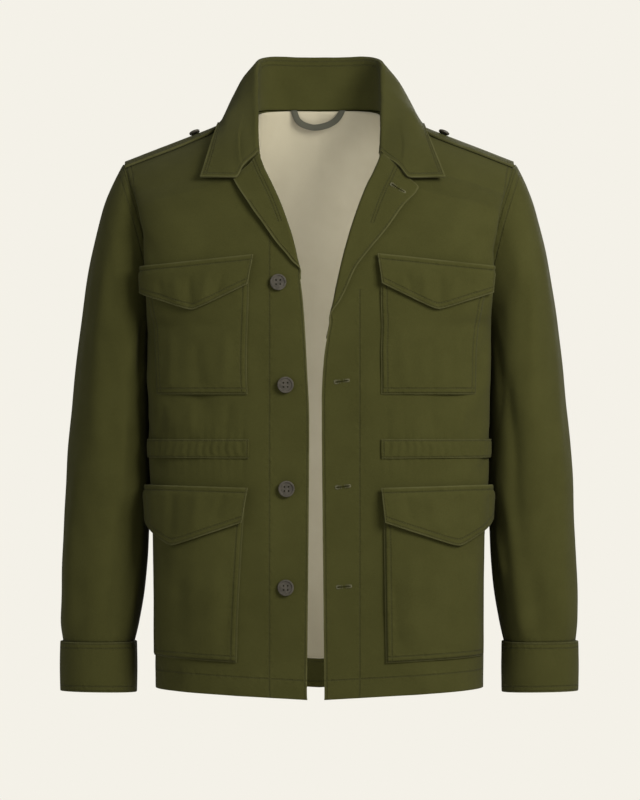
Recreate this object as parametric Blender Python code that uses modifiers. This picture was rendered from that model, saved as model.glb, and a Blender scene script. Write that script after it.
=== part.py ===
"""Field jacket worn open with no wearer in it: each cut piece is its own closed wall of cloth.

Lengths in the tables are millimetres. X runs to the wearer's left, Y to the back and Z up.
The origin is the middle of the back neck seam, where the jacket hangs from the wearer's neck.
"""

import math

import bmesh
import bpy
import numpy as np
from mathutils import Vector
from mathutils.bvhtree import BVHTree

MM = 0.001

# ---------------------------------------------------------------- sizes
BACK_NECK_DEPTH = 75.0  # back neck seam, behind the side seams
SHELL = 1.6  # twill, one layer
DOUBLE = 2.4  # twill, two layers turned and stitched
LINING = 1.0
STRAP_THICK = 3.0
SEAM_GAP = 0.3
PANEL_STAND = SHELL + SEAM_GAP  # a piece on a panel, middle to middle
SEAM_TRIM = 0.7  # cut back from the armhole and side seams
STAND_CLEAR = 2.6  # middle of the collar's stand off the middle of the body
COLLAR_CLEAR = 8.0  # the same for its fall, which lies on the lapels
SEAM_DEPTH = 6.0  # shoulder seam, behind the side seams
SEAM_ASIDE = (0.0, 1.5, -1.5, 3.0, -3.0)  # steps that find cloth beside the open seam

NECK_POINT = -9.0  # height where the shoulder seam meets the neck
ARMPIT = -284.0
HEM = -749.0
HEM_BAND = 36.0  # depth of the turned hem inside the back
LINING_INSET = 2.4  # lining's middle, inside the shell's middle

CUFF_TOP = -681.0
CUFF_BOTTOM = -745.0
CUFF_EASE = 1.8  # the cuff stands this far off the sleeve's end

BUTTON_DIAMETER = 20.5
BUTTON_THICK = 3.6
BUTTON_RIM = 2.0
BUTTON_SIDES = 24
BUTTON_HOLE = 2.2
BUTTON_HOLE_SPREAD = 2.6
BUTTON_STAND = 2.0  # thread shank between cloth and button
BUTTON_INSET = 28.0  # from the front edge, along the cloth
BUTTON_HEIGHTS = (-225.0, -355.0, -486.0, -610.0)
STRAP_BUTTON_DIAMETER = 14.0
STRAP_BUTTON_THICK = 3.0
STRAP_BUTTON_STAND = 0.5

# ---------------------------------------------------------------- section tables
# A front, from shoulder seam to hem. "in" is the front edge, roll line or neck; "out" is the
# armhole above the armpit and the side seam below it. squareness is the section's superellipse
# power, and drape the cloth that stands out beyond the side in front of the arm.
ROW_COLUMNS = ("z_in", "y_in", "z_out", "x_out", "y_out", "squareness", "drape")
FRONT_ROWS = (
    (-9.0, 8.0, -74.0, 250.0, 5.0, 2.2, 0.0),
    (-15.0, -9.0, -78.0, 248.0, -9.0, 2.3, 0.0),
    (-30.0, -34.0, -89.0, 243.5, -25.0, 2.5, 0.0),
    (-50.0, -56.0, -104.0, 238.0, -37.0, 2.8, 0.0),
    (-75.0, -76.0, -122.0, 231.0, -46.0, 3.2, 2.0),
    (-105.0, -93.0, -144.0, 223.5, -52.0, 3.6, 5.0),
    (-140.0, -107.0, -169.0, 217.0, -54.0, 3.8, 8.0),
    (-180.0, -116.0, -200.0, 211.0, -52.0, 3.8, 12.0),
    (-220.0, -121.0, -234.0, 206.0, -42.0, 3.6, 16.0),
    (-256.0, -124.0, -264.0, 202.0, -24.0, 3.4, 19.0),
    (-284.0, -125.0, -284.0, 200.0, 0.0, 3.3, 21.0),
    (-330.0, -126.0, -330.0, 203.0, 0.0, 3.3, 18.0),
    (-380.0, -126.0, -380.0, 205.0, 0.0, 3.4, 14.0),
    (-430.0, -124.0, -430.0, 206.5, 0.0, 3.5, 12.0),
    (-490.0, -124.0, -484.0, 208.0, 0.0, 3.6, 8.0),
    (-560.0, -126.0, -551.0, 208.5, 0.0, 3.7, 1.0),
    (-640.0, -127.0, -630.0, 208.5, 0.0, 3.6, 0.0),
    (-749.0, -127.0, -738.0, 208.0, 0.0, 3.5, 0.0),
)
# Half the back, from neck seam to hem; "in" is the centre line.
BACK_ROWS = (
    (0.0, 75.0, -74.0, 250.0, 5.0, 2.3, 0.0),
    (-12.0, 80.0, -79.0, 248.0, 17.0, 2.3, 0.0),
    (-38.0, 91.0, -96.0, 241.0, 33.0, 2.4, 0.0),
    (-75.0, 102.0, -120.0, 232.5, 46.0, 2.5, 0.0),
    (-112.0, 110.0, -146.0, 225.0, 55.0, 2.6, 1.0),
    (-152.0, 117.0, -176.0, 218.0, 60.0, 2.7, 2.0),
    (-192.0, 121.0, -206.0, 212.0, 58.0, 2.8, 4.0),
    (-232.0, 123.0, -239.0, 207.0, 47.0, 2.8, 6.0),
    (-263.0, 123.0, -266.0, 203.0, 27.0, 2.8, 7.0),
    (-284.0, 123.0, -284.0, 200.0, 0.0, 2.8, 8.0),
    (-330.0, 122.0, -330.0, 203.0, 0.0, 2.7, 8.0),
    (-380.0, 118.0, -380.0, 205.0, 0.0, 2.6, 7.0),
    (-430.0, 113.0, -430.0, 206.5, 0.0, 2.6, 5.0),
    (-490.0, 111.0, -484.0, 208.0, 0.0, 2.5, 3.0),
    (-560.0, 114.0, -551.0, 208.5, 0.0, 2.5, 1.0),
    (-640.0, 119.0, -630.0, 208.5, 0.0, 2.5, 0.0),
    (-749.0, 122.0, -738.0, 208.0, 0.0, 2.5, 0.0),
)
# Neck seam round half the back, from the centre to the shoulder seam.
NECK_COLUMNS = ("x", "y", "z")
NECK_ROWS = (
    (0.0, 75.0, 0.0),
    (38.0, 74.0, 0.0),
    (63.0, 64.0, -1.0),
    (77.0, 43.0, -4.0),
    (82.0, 8.0, -9.0),
)
NECK_BLEND = 62.0  # height below the neck over which the back takes the neck's curve

# Distance of each front's inner edge from the middle plane, and how far its lapel folds back.
EDGE_COLUMNS = ("z", "edge", "lapel")
EDGE_RIGHT = (
    (-9.0, 82.0, 0.0),
    (-30.0, 81.0, 0.0),
    (-50.0, 79.5, 0.0),
    (-63.0, 77.0, 1.0),
    (-73.5, 73.0, 14.0),
    (-80.0, 70.5, 28.0),
    (-86.0, 68.0, 41.0),
    (-90.0, 66.0, 41.5),
    (-127.0, 49.0, 37.0),
    (-150.0, 40.5, 30.0),
    (-172.0, 33.5, 22.5),
    (-198.0, 27.5, 8.5),
    (-220.0, 24.0, 0.5),
    (-255.0, 20.0, 0.0),
    (-330.0, 15.5, 0.0),
    (-400.0, 12.5, 0.0),
    (-560.0, 13.5, 0.0),
    (-749.0, 15.5, 0.0),
)
EDGE_LEFT = (
    (-9.0, 82.0, 0.0),
    (-30.0, 81.0, 0.0),
    (-50.0, 79.5, 0.0),
    (-62.0, 78.0, 1.0),
    (-72.5, 74.8, 20.5),
    (-84.0, 69.8, 41.5),
    (-94.5, 65.0, 61.0),
    (-98.0, 63.0, 61.0),
    (-121.0, 53.0, 53.5),
    (-153.0, 41.8, 44.0),
    (-185.0, 32.4, 29.0),
    (-208.0, 26.7, 18.5),
    (-235.0, 20.9, 12.5),
    (-250.0, 18.0, 8.0),
    (-280.0, 13.0, 0.5),
    (-320.0, 6.0, 0.0),
    (-375.0, 3.0, 0.0),
    (-560.0, 4.5, 0.0),
    (-749.0, 6.5, 0.0),
)
LAPEL_ROLL = 2.6  # radius of the fold at the roll line
LAPEL_LIFT = 2.4  # extra lift of the lapel's free edge
LAPEL_TOP = -72.0
LAPEL_END = {-1: -219.0, 1: -277.0}
FACING_TURN = 14.0  # the facing's return inside the front edge

# Sleeve sections: outer and inner ends in front view, half depth, depth of the centre.
SLEEVE_COLUMNS = (
    "x_outer", "z_outer", "x_inner", "z_inner", "y_mid", "half_depth", "squareness",
)
SLEEVE_ROWS = (
    (250.0, -74.0, 202.0, -284.0, 3.0, 58.0, 2.2),
    (260.0, -90.0, 208.5, -289.0, 3.0, 62.0, 2.2),
    (271.0, -116.0, 213.0, -297.0, 3.0, 67.0, 2.2),
    (281.0, -150.0, 215.0, -311.0, 3.0, 71.0, 2.2),
    (289.5, -186.0, 215.5, -330.0, 3.0, 73.0, 2.2),
    (297.0, -228.0, 215.5, -356.0, 3.0, 74.0, 2.2),
    (304.0, -276.0, 215.5, -388.0, 3.0, 73.0, 2.2),
    (310.5, -328.0, 215.5, -422.0, 3.0, 71.0, 2.2),
    (316.0, -378.0, 214.5, -456.0, 2.5, 68.5, 2.2),
    (320.5, -430.0, 214.0, -492.0, 1.5, 66.0, 2.2),
    (323.5, -486.0, 217.5, -530.0, 0.0, 63.0, 2.2),
    (326.0, -544.0, 219.5, -570.0, -3.0, 60.0, 2.2),
    (328.0, -602.0, 223.5, -614.0, -6.5, 55.5, 2.2),
    (328.5, -650.0, 230.0, -654.0, -9.5, 51.0, 2.2),
    (325.0, -688.0, 238.0, -688.0, -11.0, 46.0, 2.2),
)
SLEEVE_PLACES = (0, 0.5, 1, 2, 3, 4.3, 6, 8, 10, 12, 14)  # sections that the wall goes through
SLEEVE_BLEND = 2.5  # sections over which the armhole's shape becomes the sleeve's
ARMHOLE_GAP_TOP = 0.7
ARMHOLE_GAP_SPREAD = 1.7

# Collar, half of it, from the centre back to the end of a wing: neck seam, roll, middle of the
# fall and its free edge.
COLLAR_COLUMNS = (
    "x_neck", "y_neck", "z_neck", "x_roll", "y_roll", "z_roll",
    "x_fall", "y_fall", "z_fall", "x_edge", "y_edge", "z_edge",
)
COLLAR_ROWS = (
    (0.0, 76.0, 1.6, 0.0, 88.0, 70.0, 0.0, 101.0, 30.0, 0.0, 98.0, -20.0),
    (38.0, 75.0, 1.6, 40.0, 86.0, 70.0, 45.0, 99.0, 30.0, 48.0, 95.0, -21.0),
    (63.0, 65.5, 1.0, 67.0, 73.0, 69.0, 84.0, 84.0, 28.0, 96.0, 81.0, -22.0),
    (77.5, 44.0, -1.6, 81.5, 46.0, 60.5, 109.0, 55.0, 21.0, 126.0, 53.0, -19.0),
    (81.0, 12.0, -5.6, 81.5, 17.0, 32.0, 114.0, 22.0, 4.0, 127.5, 22.0, -21.0),
    (81.0, -13.0, -13.0, 81.0, -10.0, 4.0, 117.0, -10.0, -12.0, 130.5, -12.0, -30.0),
    (80.0, -37.0, -33.0, 80.0, -38.0, -27.0, 113.0, -46.0, -44.0, 138.5, -48.0, -54.0),
    (79.0, -60.0, -55.0, 78.0, -67.0, -60.0, 106.0, -92.0, -94.0, 150.0, -84.0, -93.0),
)
COLLAR_ROLL = 2.8  # radius of the collar's fold, less where its stand runs out
COLLAR_LEAN = 0.058  # share of its depth by which the left wing lies further out
COLLAR_LEAN_FROM = 60.0
COLLAR_SWELL = 3.5  # how far the fall swells out below its roll

# Lines of a front, on a shared layout. Pieces on it begin and end on them, and each front's own
# table says how far from its edge, along the cloth, the pockets' inner and outer lines run.
POCKET_INNER = 74.0
CHEST_MIDDLE = 137.0
HIP_MIDDLE = 163.0
CHEST_OUTER = 200.0
HIP_OUTER = 228.0
FRONT_DISTANCES = (0.0, 37.0, POCKET_INNER, 106.0, CHEST_MIDDLE, HIP_MIDDLE, 184.0, CHEST_OUTER, 214.0,
                   HIP_OUTER)
CHEST_HEIGHT = -187.0  # top of the chest flap; above it the lines draw in towards the shoulder
POCKET_COLUMNS = ("z", "inner", "outer")
POCKETS_RIGHT = (
    (-187.0, 56.0, 200.0),
    (-225.0, 65.0, 200.0),
    (-367.0, 76.0, 200.0),
    (-435.0, 75.0, 200.0),
    (-486.0, 79.0, 200.0),
    (-707.0, 88.0, 200.0),
    (-749.0, 88.0, 200.0),
)
POCKETS_LEFT = (
    (-187.0, 44.0, 188.0),
    (-225.0, 54.0, 190.0),
    (-367.0, 74.0, 200.0),
    (-435.0, 74.0, 200.0),
    (-486.0, 76.0, 200.0),
    (-707.0, 77.0, 200.0),
    (-749.0, 77.0, 200.0),
)

# Rows of a front, by the height of its edge. Pockets, flaps and channel begin and end on them.
CHEST_CORNER = -225.0
CHEST_POINT = -254.0
CHEST_BOTTOM = -367.0
CHANNEL_TOP = -423.0
CHANNEL_BOTTOM = -448.0
HIP_HEIGHT = -486.0
HIP_CORNER = -531.0
HIP_POINT = -564.0
HIP_BOTTOM = -707.0
FRONT_HEIGHTS = (-9.7, -18.0, -32.0, -52.0, -76.0, -106.0, -138.0, -170.0, CHEST_HEIGHT,
                 CHEST_CORNER, CHEST_POINT, ARMPIT, -325.0, CHEST_BOTTOM, CHANNEL_TOP,
                 CHANNEL_BOTTOM, HIP_HEIGHT, HIP_CORNER, HIP_POINT, -636.0, HIP_BOTTOM, HEM)
BACK_HEIGHTS = (-0.7, -12.0, -34.0, -64.0, -100.0, -142.0, -188.0, -234.0, -264.0, ARMPIT,
                -340.0, -400.0, -460.0, -540.0, -630.0, HEM + HEM_BAND, HEM)
BACK_SHARES = (0.0, 0.15, 0.3, 0.45, 0.59, 0.72, 0.84, 0.93, 1.0)

CHEST_STAND_OFF = 2.4  # how far the pockets' cloth stands off the front
HIP_STAND_OFF = 5.0
POCKET_TURN = 0.05  # share of a span over which a pocket rises from its edge
FLAP_OVERHANG = 3.0  # a flap is this much wider than its pocket each side
FLAP_SWING = 4.0  # a flap's lower corners hang this far towards the side
FLAP_SPRING = 1.2

# Shoulder strap: from the armhole to its rounded free end by the collar.
STRAP_OUTER = 247.0
STRAP_INNER = 130.0
STRAP_HALF_WIDTH = 21.0
STRAP_END_HALF_WIDTH = 19.0
STRAP_LIFT = 1.6
STRAP_SEAT = 235.0  # beyond this the strap carries on at the shoulder's slope
SHOULDER_SLOPE = -0.387
STRAP_BUTTON_X = 157.0

LOOP_WIDTH = 8.0
LOOP_THICK = 1.8
LOOP_COLUMNS = ("x", "z")
LOOP_ROWS = (
    (-33.0, 0.8),
    (-28.0, -12.0),
    (-18.0, -19.0),
    (-6.0, -21.5),
    (10.0, -18.5),
    (22.0, -11.5),
    (30.0, 0.8),
)
LOOP_DEPTH = 69.4  # hangs just in front of the lining

# ---------------------------------------------------------------- mesh fineness
FINE = 400  # samples of one section before it's divided by length

# A place inside the body, seen from which each panel faces outwards.
INSIDE_SHARE = 0.6
INSIDE_DEPTH = 20.0
INSIDE_HEIGHT = -260.0

COLOURS = {
    "olive_twill": (0.055, 0.062, 0.022, 1.0),
    "olive_facing": (0.05, 0.056, 0.02, 1.0),
    "beige_lining": (0.40, 0.36, 0.25, 1.0),
    "loop_tape": (0.045, 0.045, 0.03, 1.0),
    "button_plastic": (0.045, 0.042, 0.035, 1.0),
}


# ---------------------------------------------------------------- tables and curves
def column_curve(at, values):
    """A smooth curve through a table's column that never overshoots (monotone cubic)."""
    order = np.argsort(at)
    x = np.asarray(at, float)[order]
    y = np.asarray(values, float)[order]
    step = np.diff(x)
    slope = np.diff(y) / step
    tangent = np.zeros(len(x))
    tangent[0] = slope[0]
    tangent[-1] = slope[-1]
    for i in range(1, len(x) - 1):
        if slope[i - 1] * slope[i] > 0:
            before = 2 * step[i] + step[i - 1]
            after = step[i] + 2 * step[i - 1]
            tangent[i] = (before + after) / (before / slope[i - 1] + after / slope[i])

    def curve(q):
        q = np.asarray(q, float)
        i = np.clip(np.searchsorted(x, q) - 1, 0, len(x) - 2)
        h = step[i]
        s = (q - x[i]) / h
        return (
            (1 + 2 * s) * (1 - s) ** 2 * y[i]
            + s * (1 - s) ** 2 * h * tangent[i]
            + s**2 * (3 - 2 * s) * y[i + 1]
            + s**2 * (s - 1) * h * tangent[i + 1]
        )

    return curve


def curves_of(columns, rows, along=None):
    """A curve for each named column; along is what the rows are spaced by, or their order."""
    at = range(len(rows)) if along is None else along
    return {name: column_curve(at, [row[i] for row in rows]) for i, name in enumerate(columns)}


def path_curve(points):
    """A curve through points, by the fraction of its length."""
    points = np.asarray(points, float)
    length = np.concatenate([[0.0], np.cumsum(np.linalg.norm(np.diff(points, axis=0), axis=1))])
    axes = [column_curve(length / length[-1], points[:, i]) for i in range(points.shape[1])]
    return lambda q: np.stack([axis(q) for axis in axes], axis=-1)


def smooth_step(value):
    value = np.clip(value, 0.0, 1.0)
    return value * value * (3 - 2 * value)


def by_length(polyline, distance):
    """Points of a polyline at these distances along it; the ends carry straight on."""
    run = np.concatenate([[0.0], np.cumsum(np.linalg.norm(np.diff(polyline, axis=0), axis=1))])
    inside = np.stack([np.interp(distance, run, polyline[:, i]) for i in range(3)], axis=-1)
    first = polyline[0] - polyline[1]
    last = polyline[-1] - polyline[-2]
    before = np.maximum(-np.asarray(distance), 0.0)[..., None] * first / np.linalg.norm(first)
    beyond = np.maximum(np.asarray(distance) - run[-1], 0.0)[..., None] * last / np.linalg.norm(last)
    return inside + before + beyond


# ---------------------------------------------------------------- body surfaces
FRONT = curves_of(ROW_COLUMNS, FRONT_ROWS, [row[0] for row in FRONT_ROWS])
BACK = curves_of(ROW_COLUMNS, BACK_ROWS, [row[0] for row in BACK_ROWS])
EDGES = {
    -1: curves_of(EDGE_COLUMNS, EDGE_RIGHT, [row[0] for row in EDGE_RIGHT]),
    1: curves_of(EDGE_COLUMNS, EDGE_LEFT, [row[0] for row in EDGE_LEFT]),
}
POCKETS = {
    -1: curves_of(POCKET_COLUMNS, POCKETS_RIGHT, [row[0] for row in POCKETS_RIGHT]),
    1: curves_of(POCKET_COLUMNS, POCKETS_LEFT, [row[0] for row in POCKETS_LEFT]),
}
NECK = path_curve(NECK_ROWS)


def section(rows, height, x_in):
    """One section of a body surface, for the left side: a superellipse corner with its drape."""
    t = np.linspace(0.0, 1.0, FINE)
    row = {name: float(curve(height)) for name, curve in rows.items()}
    power = 2.0 / row["squareness"]
    out = np.sin(math.pi * t / 2) ** power
    front = np.cos(math.pi * t / 2).clip(0.0) ** power
    bump = t**4 * (1 - t) / 0.08192
    x = x_in + (row["x_out"] - x_in) * out + row["drape"] * bump
    y = row["y_out"] + (row["y_in"] - row["y_out"]) * front
    z = row["z_in"] + (row["z_out"] - row["z_in"]) * out
    return np.stack([x, y, z], axis=-1)


def front_section(side, height):
    """A front's section from its inner edge to its side; side is 1 on the left, -1 on the right."""
    line = section(FRONT, height, float(EDGES[side]["edge"](height)))
    return line * (side, 1, 1)


def front_points(side, distance, height):
    """Points of a front at these distances from its edge, along the cloth, at one height."""
    return by_length(front_section(side, height), np.asarray(distance, float))


def length_of(line):
    return float(np.linalg.norm(np.diff(line, axis=0), axis=1).sum())


def back_section(height):
    """The left half of the back's section; near the neck it takes the neck and shoulder seams."""
    line = section(BACK, height, 0.0)
    blend = float(smooth_step(1.0 + height / NECK_BLEND))
    if blend <= 0:
        return line
    neck = NECK(np.linspace(0.0, 1.0, FINE))
    tip = np.array(BACK_ROWS[0][3:5] + BACK_ROWS[0][2:3])
    seam = np.linspace(neck[-1], tip, FINE)
    top = np.concatenate([neck, seam[1:]])
    fraction = np.linspace(0.0, 1.0, FINE)
    top = by_length(top, fraction * length_of(top))
    line = by_length(line, fraction * length_of(line))
    return line * (1 - blend) + top * blend


# ---------------------------------------------------------------- walls of cloth
def normals_of(grid):
    """Unit normals of a grid of points, from its own neighbours."""
    across = np.gradient(grid, axis=1)
    along = np.gradient(grid, axis=0)
    normal = np.cross(across, along)
    return normal / np.linalg.norm(normal, axis=-1, keepdims=True)


def open_surface(grid, round_tube=False):
    """Points and faces of a grid's own surface, each quad cut along the same diagonal."""
    rows, lines = grid.shape[:2]
    spans = lines if round_tube else lines - 1
    faces = []
    for i in range(rows - 1):
        for j in range(spans):
            here, beside = i * lines + j, i * lines + (j + 1) % lines
            faces.append((here, beside, beside + lines))
            faces.append((here, beside + lines, here + lines))
    return grid.reshape(-1, 3), faces


def add_object(name, points, faces, material):
    """A named mesh in metres; the back neck seam becomes the origin."""
    mesh = bpy.data.meshes.new(name)
    moved = (np.asarray(points) - (0.0, BACK_NECK_DEPTH, 0.0)) * MM
    mesh.from_pydata([tuple(point) for point in moved], [], faces)
    mesh.materials.append(MATERIALS[material])
    mesh.shade_smooth()
    mesh.set_sharp_from_angle(angle=math.radians(40))
    solid = bpy.data.objects.new(name, mesh)
    JACKET.objects.link(solid)
    return solid


def cloth(name, grid, thickness, material, round_tube=False):
    """A piece of cloth: the grid's surface, given its thickness half to each side."""
    piece = add_object(name, *open_surface(grid, round_tube), material)
    wall = piece.modifiers.new("thickness", "SOLIDIFY")
    wall.thickness = thickness * MM
    wall.offset = 0.0
    return piece


def surface_tree(grids):
    """A tree for finding the nearest point of these grids."""
    points = []
    faces = []
    for grid in grids:
        rows, lines = grid.shape[:2]
        start = len(points)
        points.extend(Vector(point) for point in grid.reshape(-1, 3))
        for i in range(rows - 1):
            for j in range(lines - 1):
                corner = start + i * lines + j
                faces.append((corner, corner + 1, corner + lines + 1))
                faces.append((corner, corner + lines + 1, corner + lines))
    return BVHTree.FromPolygons(points, faces)


def kept_clear(grid, tree, clearance):
    """The grid with each point that is nearer than the clearance moved straight off the surface."""
    cleared = grid.copy()
    for index in np.ndindex(grid.shape[:2]):
        point = Vector(grid[index])
        nearest, normal, _, _ = tree.find_nearest(point)
        inside = Vector((INSIDE_SHARE * nearest.x, INSIDE_DEPTH, INSIDE_HEIGHT))
        if (nearest - inside).dot(normal) < 0:
            normal = -normal
        height = (point - nearest).dot(normal)
        if height < clearance:
            cleared[index] = np.array(point + normal * (clearance - height))
    return cleared


# ---------------------------------------------------------------- the panels' points
def distances(side, height):
    """How far a front's lines are from its edge at this height, out to its armhole or side seam."""
    span = length_of(front_section(side, height))
    drawn_in = 1.0
    if height > CHEST_HEIGHT:
        drawn_in = span / length_of(front_section(side, CHEST_HEIGHT))
    level = min(height, CHEST_HEIGHT)
    inner, outer = (float(POCKETS[side][name](level)) for name in POCKET_COLUMNS[1:])
    shared = (0.0, POCKET_INNER, CHEST_OUTER, HIP_OUTER)
    distance = np.interp(FRONT_DISTANCES, shared, (0.0, inner, outer, HIP_OUTER)) * drawn_in
    if height > ARMPIT:
        distance = distance[: FRONT_DISTANCES.index(CHEST_OUTER) + 1]
    lines = len(FRONT_DISTANCES) + 2
    rest = np.linspace(distance[-1], span - SEAM_TRIM, lines - len(distance) + 1)[1:]
    return np.concatenate([distance, rest])


def front_grid(side):
    """A front's points: a row for each height, from its edge to its armhole or side seam."""
    return np.array([front_points(side, distances(side, h), h) for h in FRONT_HEIGHTS])


def back_grid():
    """The back's points: a row for each height, from its right side seam to its left."""
    grid = []
    for height in BACK_HEIGHTS:
        half = back_section(height)
        span = length_of(half) - SEAM_TRIM
        left = by_length(half, span * np.array(BACK_SHARES))
        grid.append(np.concatenate([(left * (-1, 1, 1))[:0:-1], left]))
    return np.array(grid)


def normals_facing_out(grid):
    """The grid's normals, turned away from a place inside the body."""
    normal = normals_of(grid)
    inside = np.stack(
        [
            INSIDE_SHARE * grid[..., 0],
            np.full(grid.shape[:2], INSIDE_DEPTH),
            np.full(grid.shape[:2], INSIDE_HEIGHT),
        ],
        axis=-1,
    )
    facing = np.sum((grid - inside) * normal, axis=-1, keepdims=True)
    return normal * np.sign(facing)


def between(values, place):
    """Values of a grid at fractional row and line numbers; before the first they carry on."""
    row = np.clip(np.floor(place[..., 0]).astype(int), 0, values.shape[0] - 2)
    line = np.clip(np.floor(place[..., 1]).astype(int), 0, values.shape[1] - 2)
    down = (place[..., 0] - row)[..., None]
    across = (place[..., 1] - line)[..., None]
    upper = values[row, line] * (1 - across) + values[row, line + 1] * across
    lower = values[row + 1, line] * (1 - across) + values[row + 1, line + 1] * across
    return upper * (1 - down) + lower * down


def lifted(side, rows, lines, lift):
    """A grid on a front's own points, at these row and line numbers, moved out by lift."""
    place = np.stack(np.broadcast_arrays(rows, lines), axis=-1)
    points = between(FRONTS[side], place)
    normal = between(FRONT_NORMALS[side], place)
    normal /= np.linalg.norm(normal, axis=-1, keepdims=True)
    return points + normal * np.asarray(lift)[..., None]


def row_at(height):
    """Row number of a height on a front."""
    return float(np.interp(-height, -np.array(FRONT_HEIGHTS), np.arange(len(FRONT_HEIGHTS))))


def line_at(distance):
    """Line number of a distance on the fronts' shared layout."""
    return float(np.interp(distance, FRONT_DISTANCES, np.arange(len(FRONT_DISTANCES))))


def line_beside(side, height, distance):
    """Line number of a distance from a front's edge at this height; negative beyond the edge."""
    at = distances(side, height)
    return float(np.interp(distance, at, np.arange(len(at))) + min(distance, 0.0) / at[1])


# ---------------------------------------------------------------- pieces of the body
def add_body():
    for side, name in ((-1, "front_right"), (1, "front_left")):
        cloth(name, FRONTS[side], SHELL, "olive_twill")
    back = BACK_POINTS
    cloth("back", back, SHELL, "olive_twill")
    inner = back - normals_facing_out(back) * LINING_INSET
    band = BACK_HEIGHTS.index(HEM + HEM_BAND)
    cloth("lining_back", inner[: band + 1], LINING, "beige_lining")
    hem = inner[band:].copy()
    hem[0] += (hem[1] - hem[0]) * SEAM_GAP / HEM_BAND * 2
    hem[1] += (hem[0] - hem[1]) / HEM_BAND
    cloth("hem_facing", hem, LINING, "olive_facing")


def add_lapel(side, name):
    """The facing, turned inside the front edge and rolled out over it as the lapel."""
    end = LAPEL_END[side]
    levels = [LAPEL_TOP] + [h for h in FRONT_HEIGHTS if LAPEL_TOP > h > end] + [end]
    turn = np.radians([-50.0, 0.0, 50.0])
    share = np.linspace(0.0, 1.0, 5)
    rows = []
    lines = []
    lift = []
    for height in levels:
        width = max(float(EDGES[side]["lapel"](height)), 1.5)
        out = 0.5 + (width - 0.5) * share
        distance = np.concatenate(
            [[FACING_TURN, FACING_TURN / 2, 0.5], -LAPEL_ROLL * np.cos(turn), out]
        )
        spring = LAPEL_LIFT * share**2 * min(1.0, width / 20.0)
        lift.append(
            np.concatenate([np.full(3, -LAPEL_ROLL), LAPEL_ROLL * np.sin(turn), LAPEL_ROLL + spring])
        )
        rows.append(np.full(len(distance), row_at(height)))
        lines.append([line_beside(side, height, d) for d in distance])
    cloth(name, lifted(side, np.array(rows), np.array(lines), lift), SHELL, "olive_facing")


# ---------------------------------------------------------------- sleeves
SLEEVES = curves_of(SLEEVE_COLUMNS, SLEEVE_ROWS)


def armhole_edge():
    """The left armhole's points on the front and back panels, from the tip round the front."""
    pit = FRONT_HEIGHTS.index(ARMPIT)
    front = FRONTS[1][: pit + 1, -1]
    back = BACK_POINTS[1 : BACK_HEIGHTS.index(ARMPIT), -1][::-1]
    edge = np.concatenate([front, back])
    share = np.clip((edge[0, 2] - edge[:, 2]) / (edge[0, 2] - front[-1, 2]), 0.0, 1.0)
    angle = np.arccos(1 - 2 * share)
    angle[pit + 1 :] = 2 * math.pi - angle[pit + 1 :]
    gap = ARMHOLE_GAP_TOP + ARMHOLE_GAP_SPREAD * np.sin(angle / 2)
    return edge + gap[:, None] * (1, 0, 0), angle


def sleeve_ring(place, edge, angle):
    """One section of the left sleeve; place counts the table's rows."""
    row = {name: float(curve(place)) for name, curve in SLEEVES.items()}
    power = 2.0 / row["squareness"]
    across = np.sign(np.cos(angle)) * np.abs(np.cos(angle)) ** power
    depth = np.sign(np.sin(angle)) * np.abs(np.sin(angle)) ** power
    x = (row["x_outer"] + row["x_inner"]) / 2 + (row["x_outer"] - row["x_inner"]) / 2 * across
    z = (row["z_outer"] + row["z_inner"]) / 2 + (row["z_outer"] - row["z_inner"]) / 2 * across
    ring = np.stack([x, row["y_mid"] - row["half_depth"] * depth, z], axis=-1)
    blend = float(smooth_step(1 - place / SLEEVE_BLEND))
    return ring * (1 - blend) + edge * blend


def add_sleeves():
    armhole, angle = armhole_edge()
    sleeve = np.array([sleeve_ring(place, armhole, angle) for place in SLEEVE_PLACES])
    last = sleeve[-1]
    middle = last.mean(axis=0)
    out = last - middle
    out[:, 2] = 0.0
    out /= np.linalg.norm(out, axis=1, keepdims=True)
    stand = SHELL / 2 + SEAM_GAP + DOUBLE / 2
    levels = (CUFF_TOP, (CUFF_TOP + CUFF_BOTTOM) / 2, CUFF_BOTTOM)
    edge = last * (1, 1, 0) + out * (stand + CUFF_EASE)
    cuff = np.array([edge + (0, 0, level) for level in levels])
    for side, name in ((-1, "right"), (1, "left")):
        flip = (side, 1, 1)
        cloth("sleeve_" + name, sleeve * flip, SHELL, "olive_twill", round_tube=True)
        cloth("cuff_" + name, cuff * flip, DOUBLE, "olive_twill", round_tube=True)


# ---------------------------------------------------------------- collar
def collar_line(row):
    """One section of the collar: up the stand, over the roll and down the fall."""
    neck = np.array([row["x_neck"], row["y_neck"], row["z_neck"]])
    roll = np.array([row["x_roll"], row["y_roll"], row["z_roll"]])
    fall = np.array([row["x_fall"], row["y_fall"], row["z_fall"]])
    edge = np.array([row["x_edge"], row["y_edge"], row["z_edge"]])
    outward = fall - roll
    outward[2] = 0.0
    outward /= max(np.linalg.norm(outward), 1e-6)
    radius = min(COLLAR_ROLL, 0.35 * float(np.linalg.norm(roll - neck)))
    stand_top = roll - outward * radius - (0.0, 0.0, radius)
    fall_top = roll + outward * radius - (0.0, 0.0, radius)
    middle = (neck + stand_top) / 2
    lower = (fall + edge) / 2
    upper = (fall_top + fall) / 2 + outward * COLLAR_SWELL
    return np.array([neck, middle, stand_top, roll, fall_top, upper, fall, lower, edge])


def leaning(half):
    """The left half of the collar: its wing lies a little further out than the right one."""
    left = half.copy()
    out = np.clip((half[..., 0] - 84.0) / 22.0, 0.0, 1.0)
    left[..., 0] += COLLAR_LEAN * np.maximum(COLLAR_LEAN_FROM - half[..., 2], 0.0) * out
    return left


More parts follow.
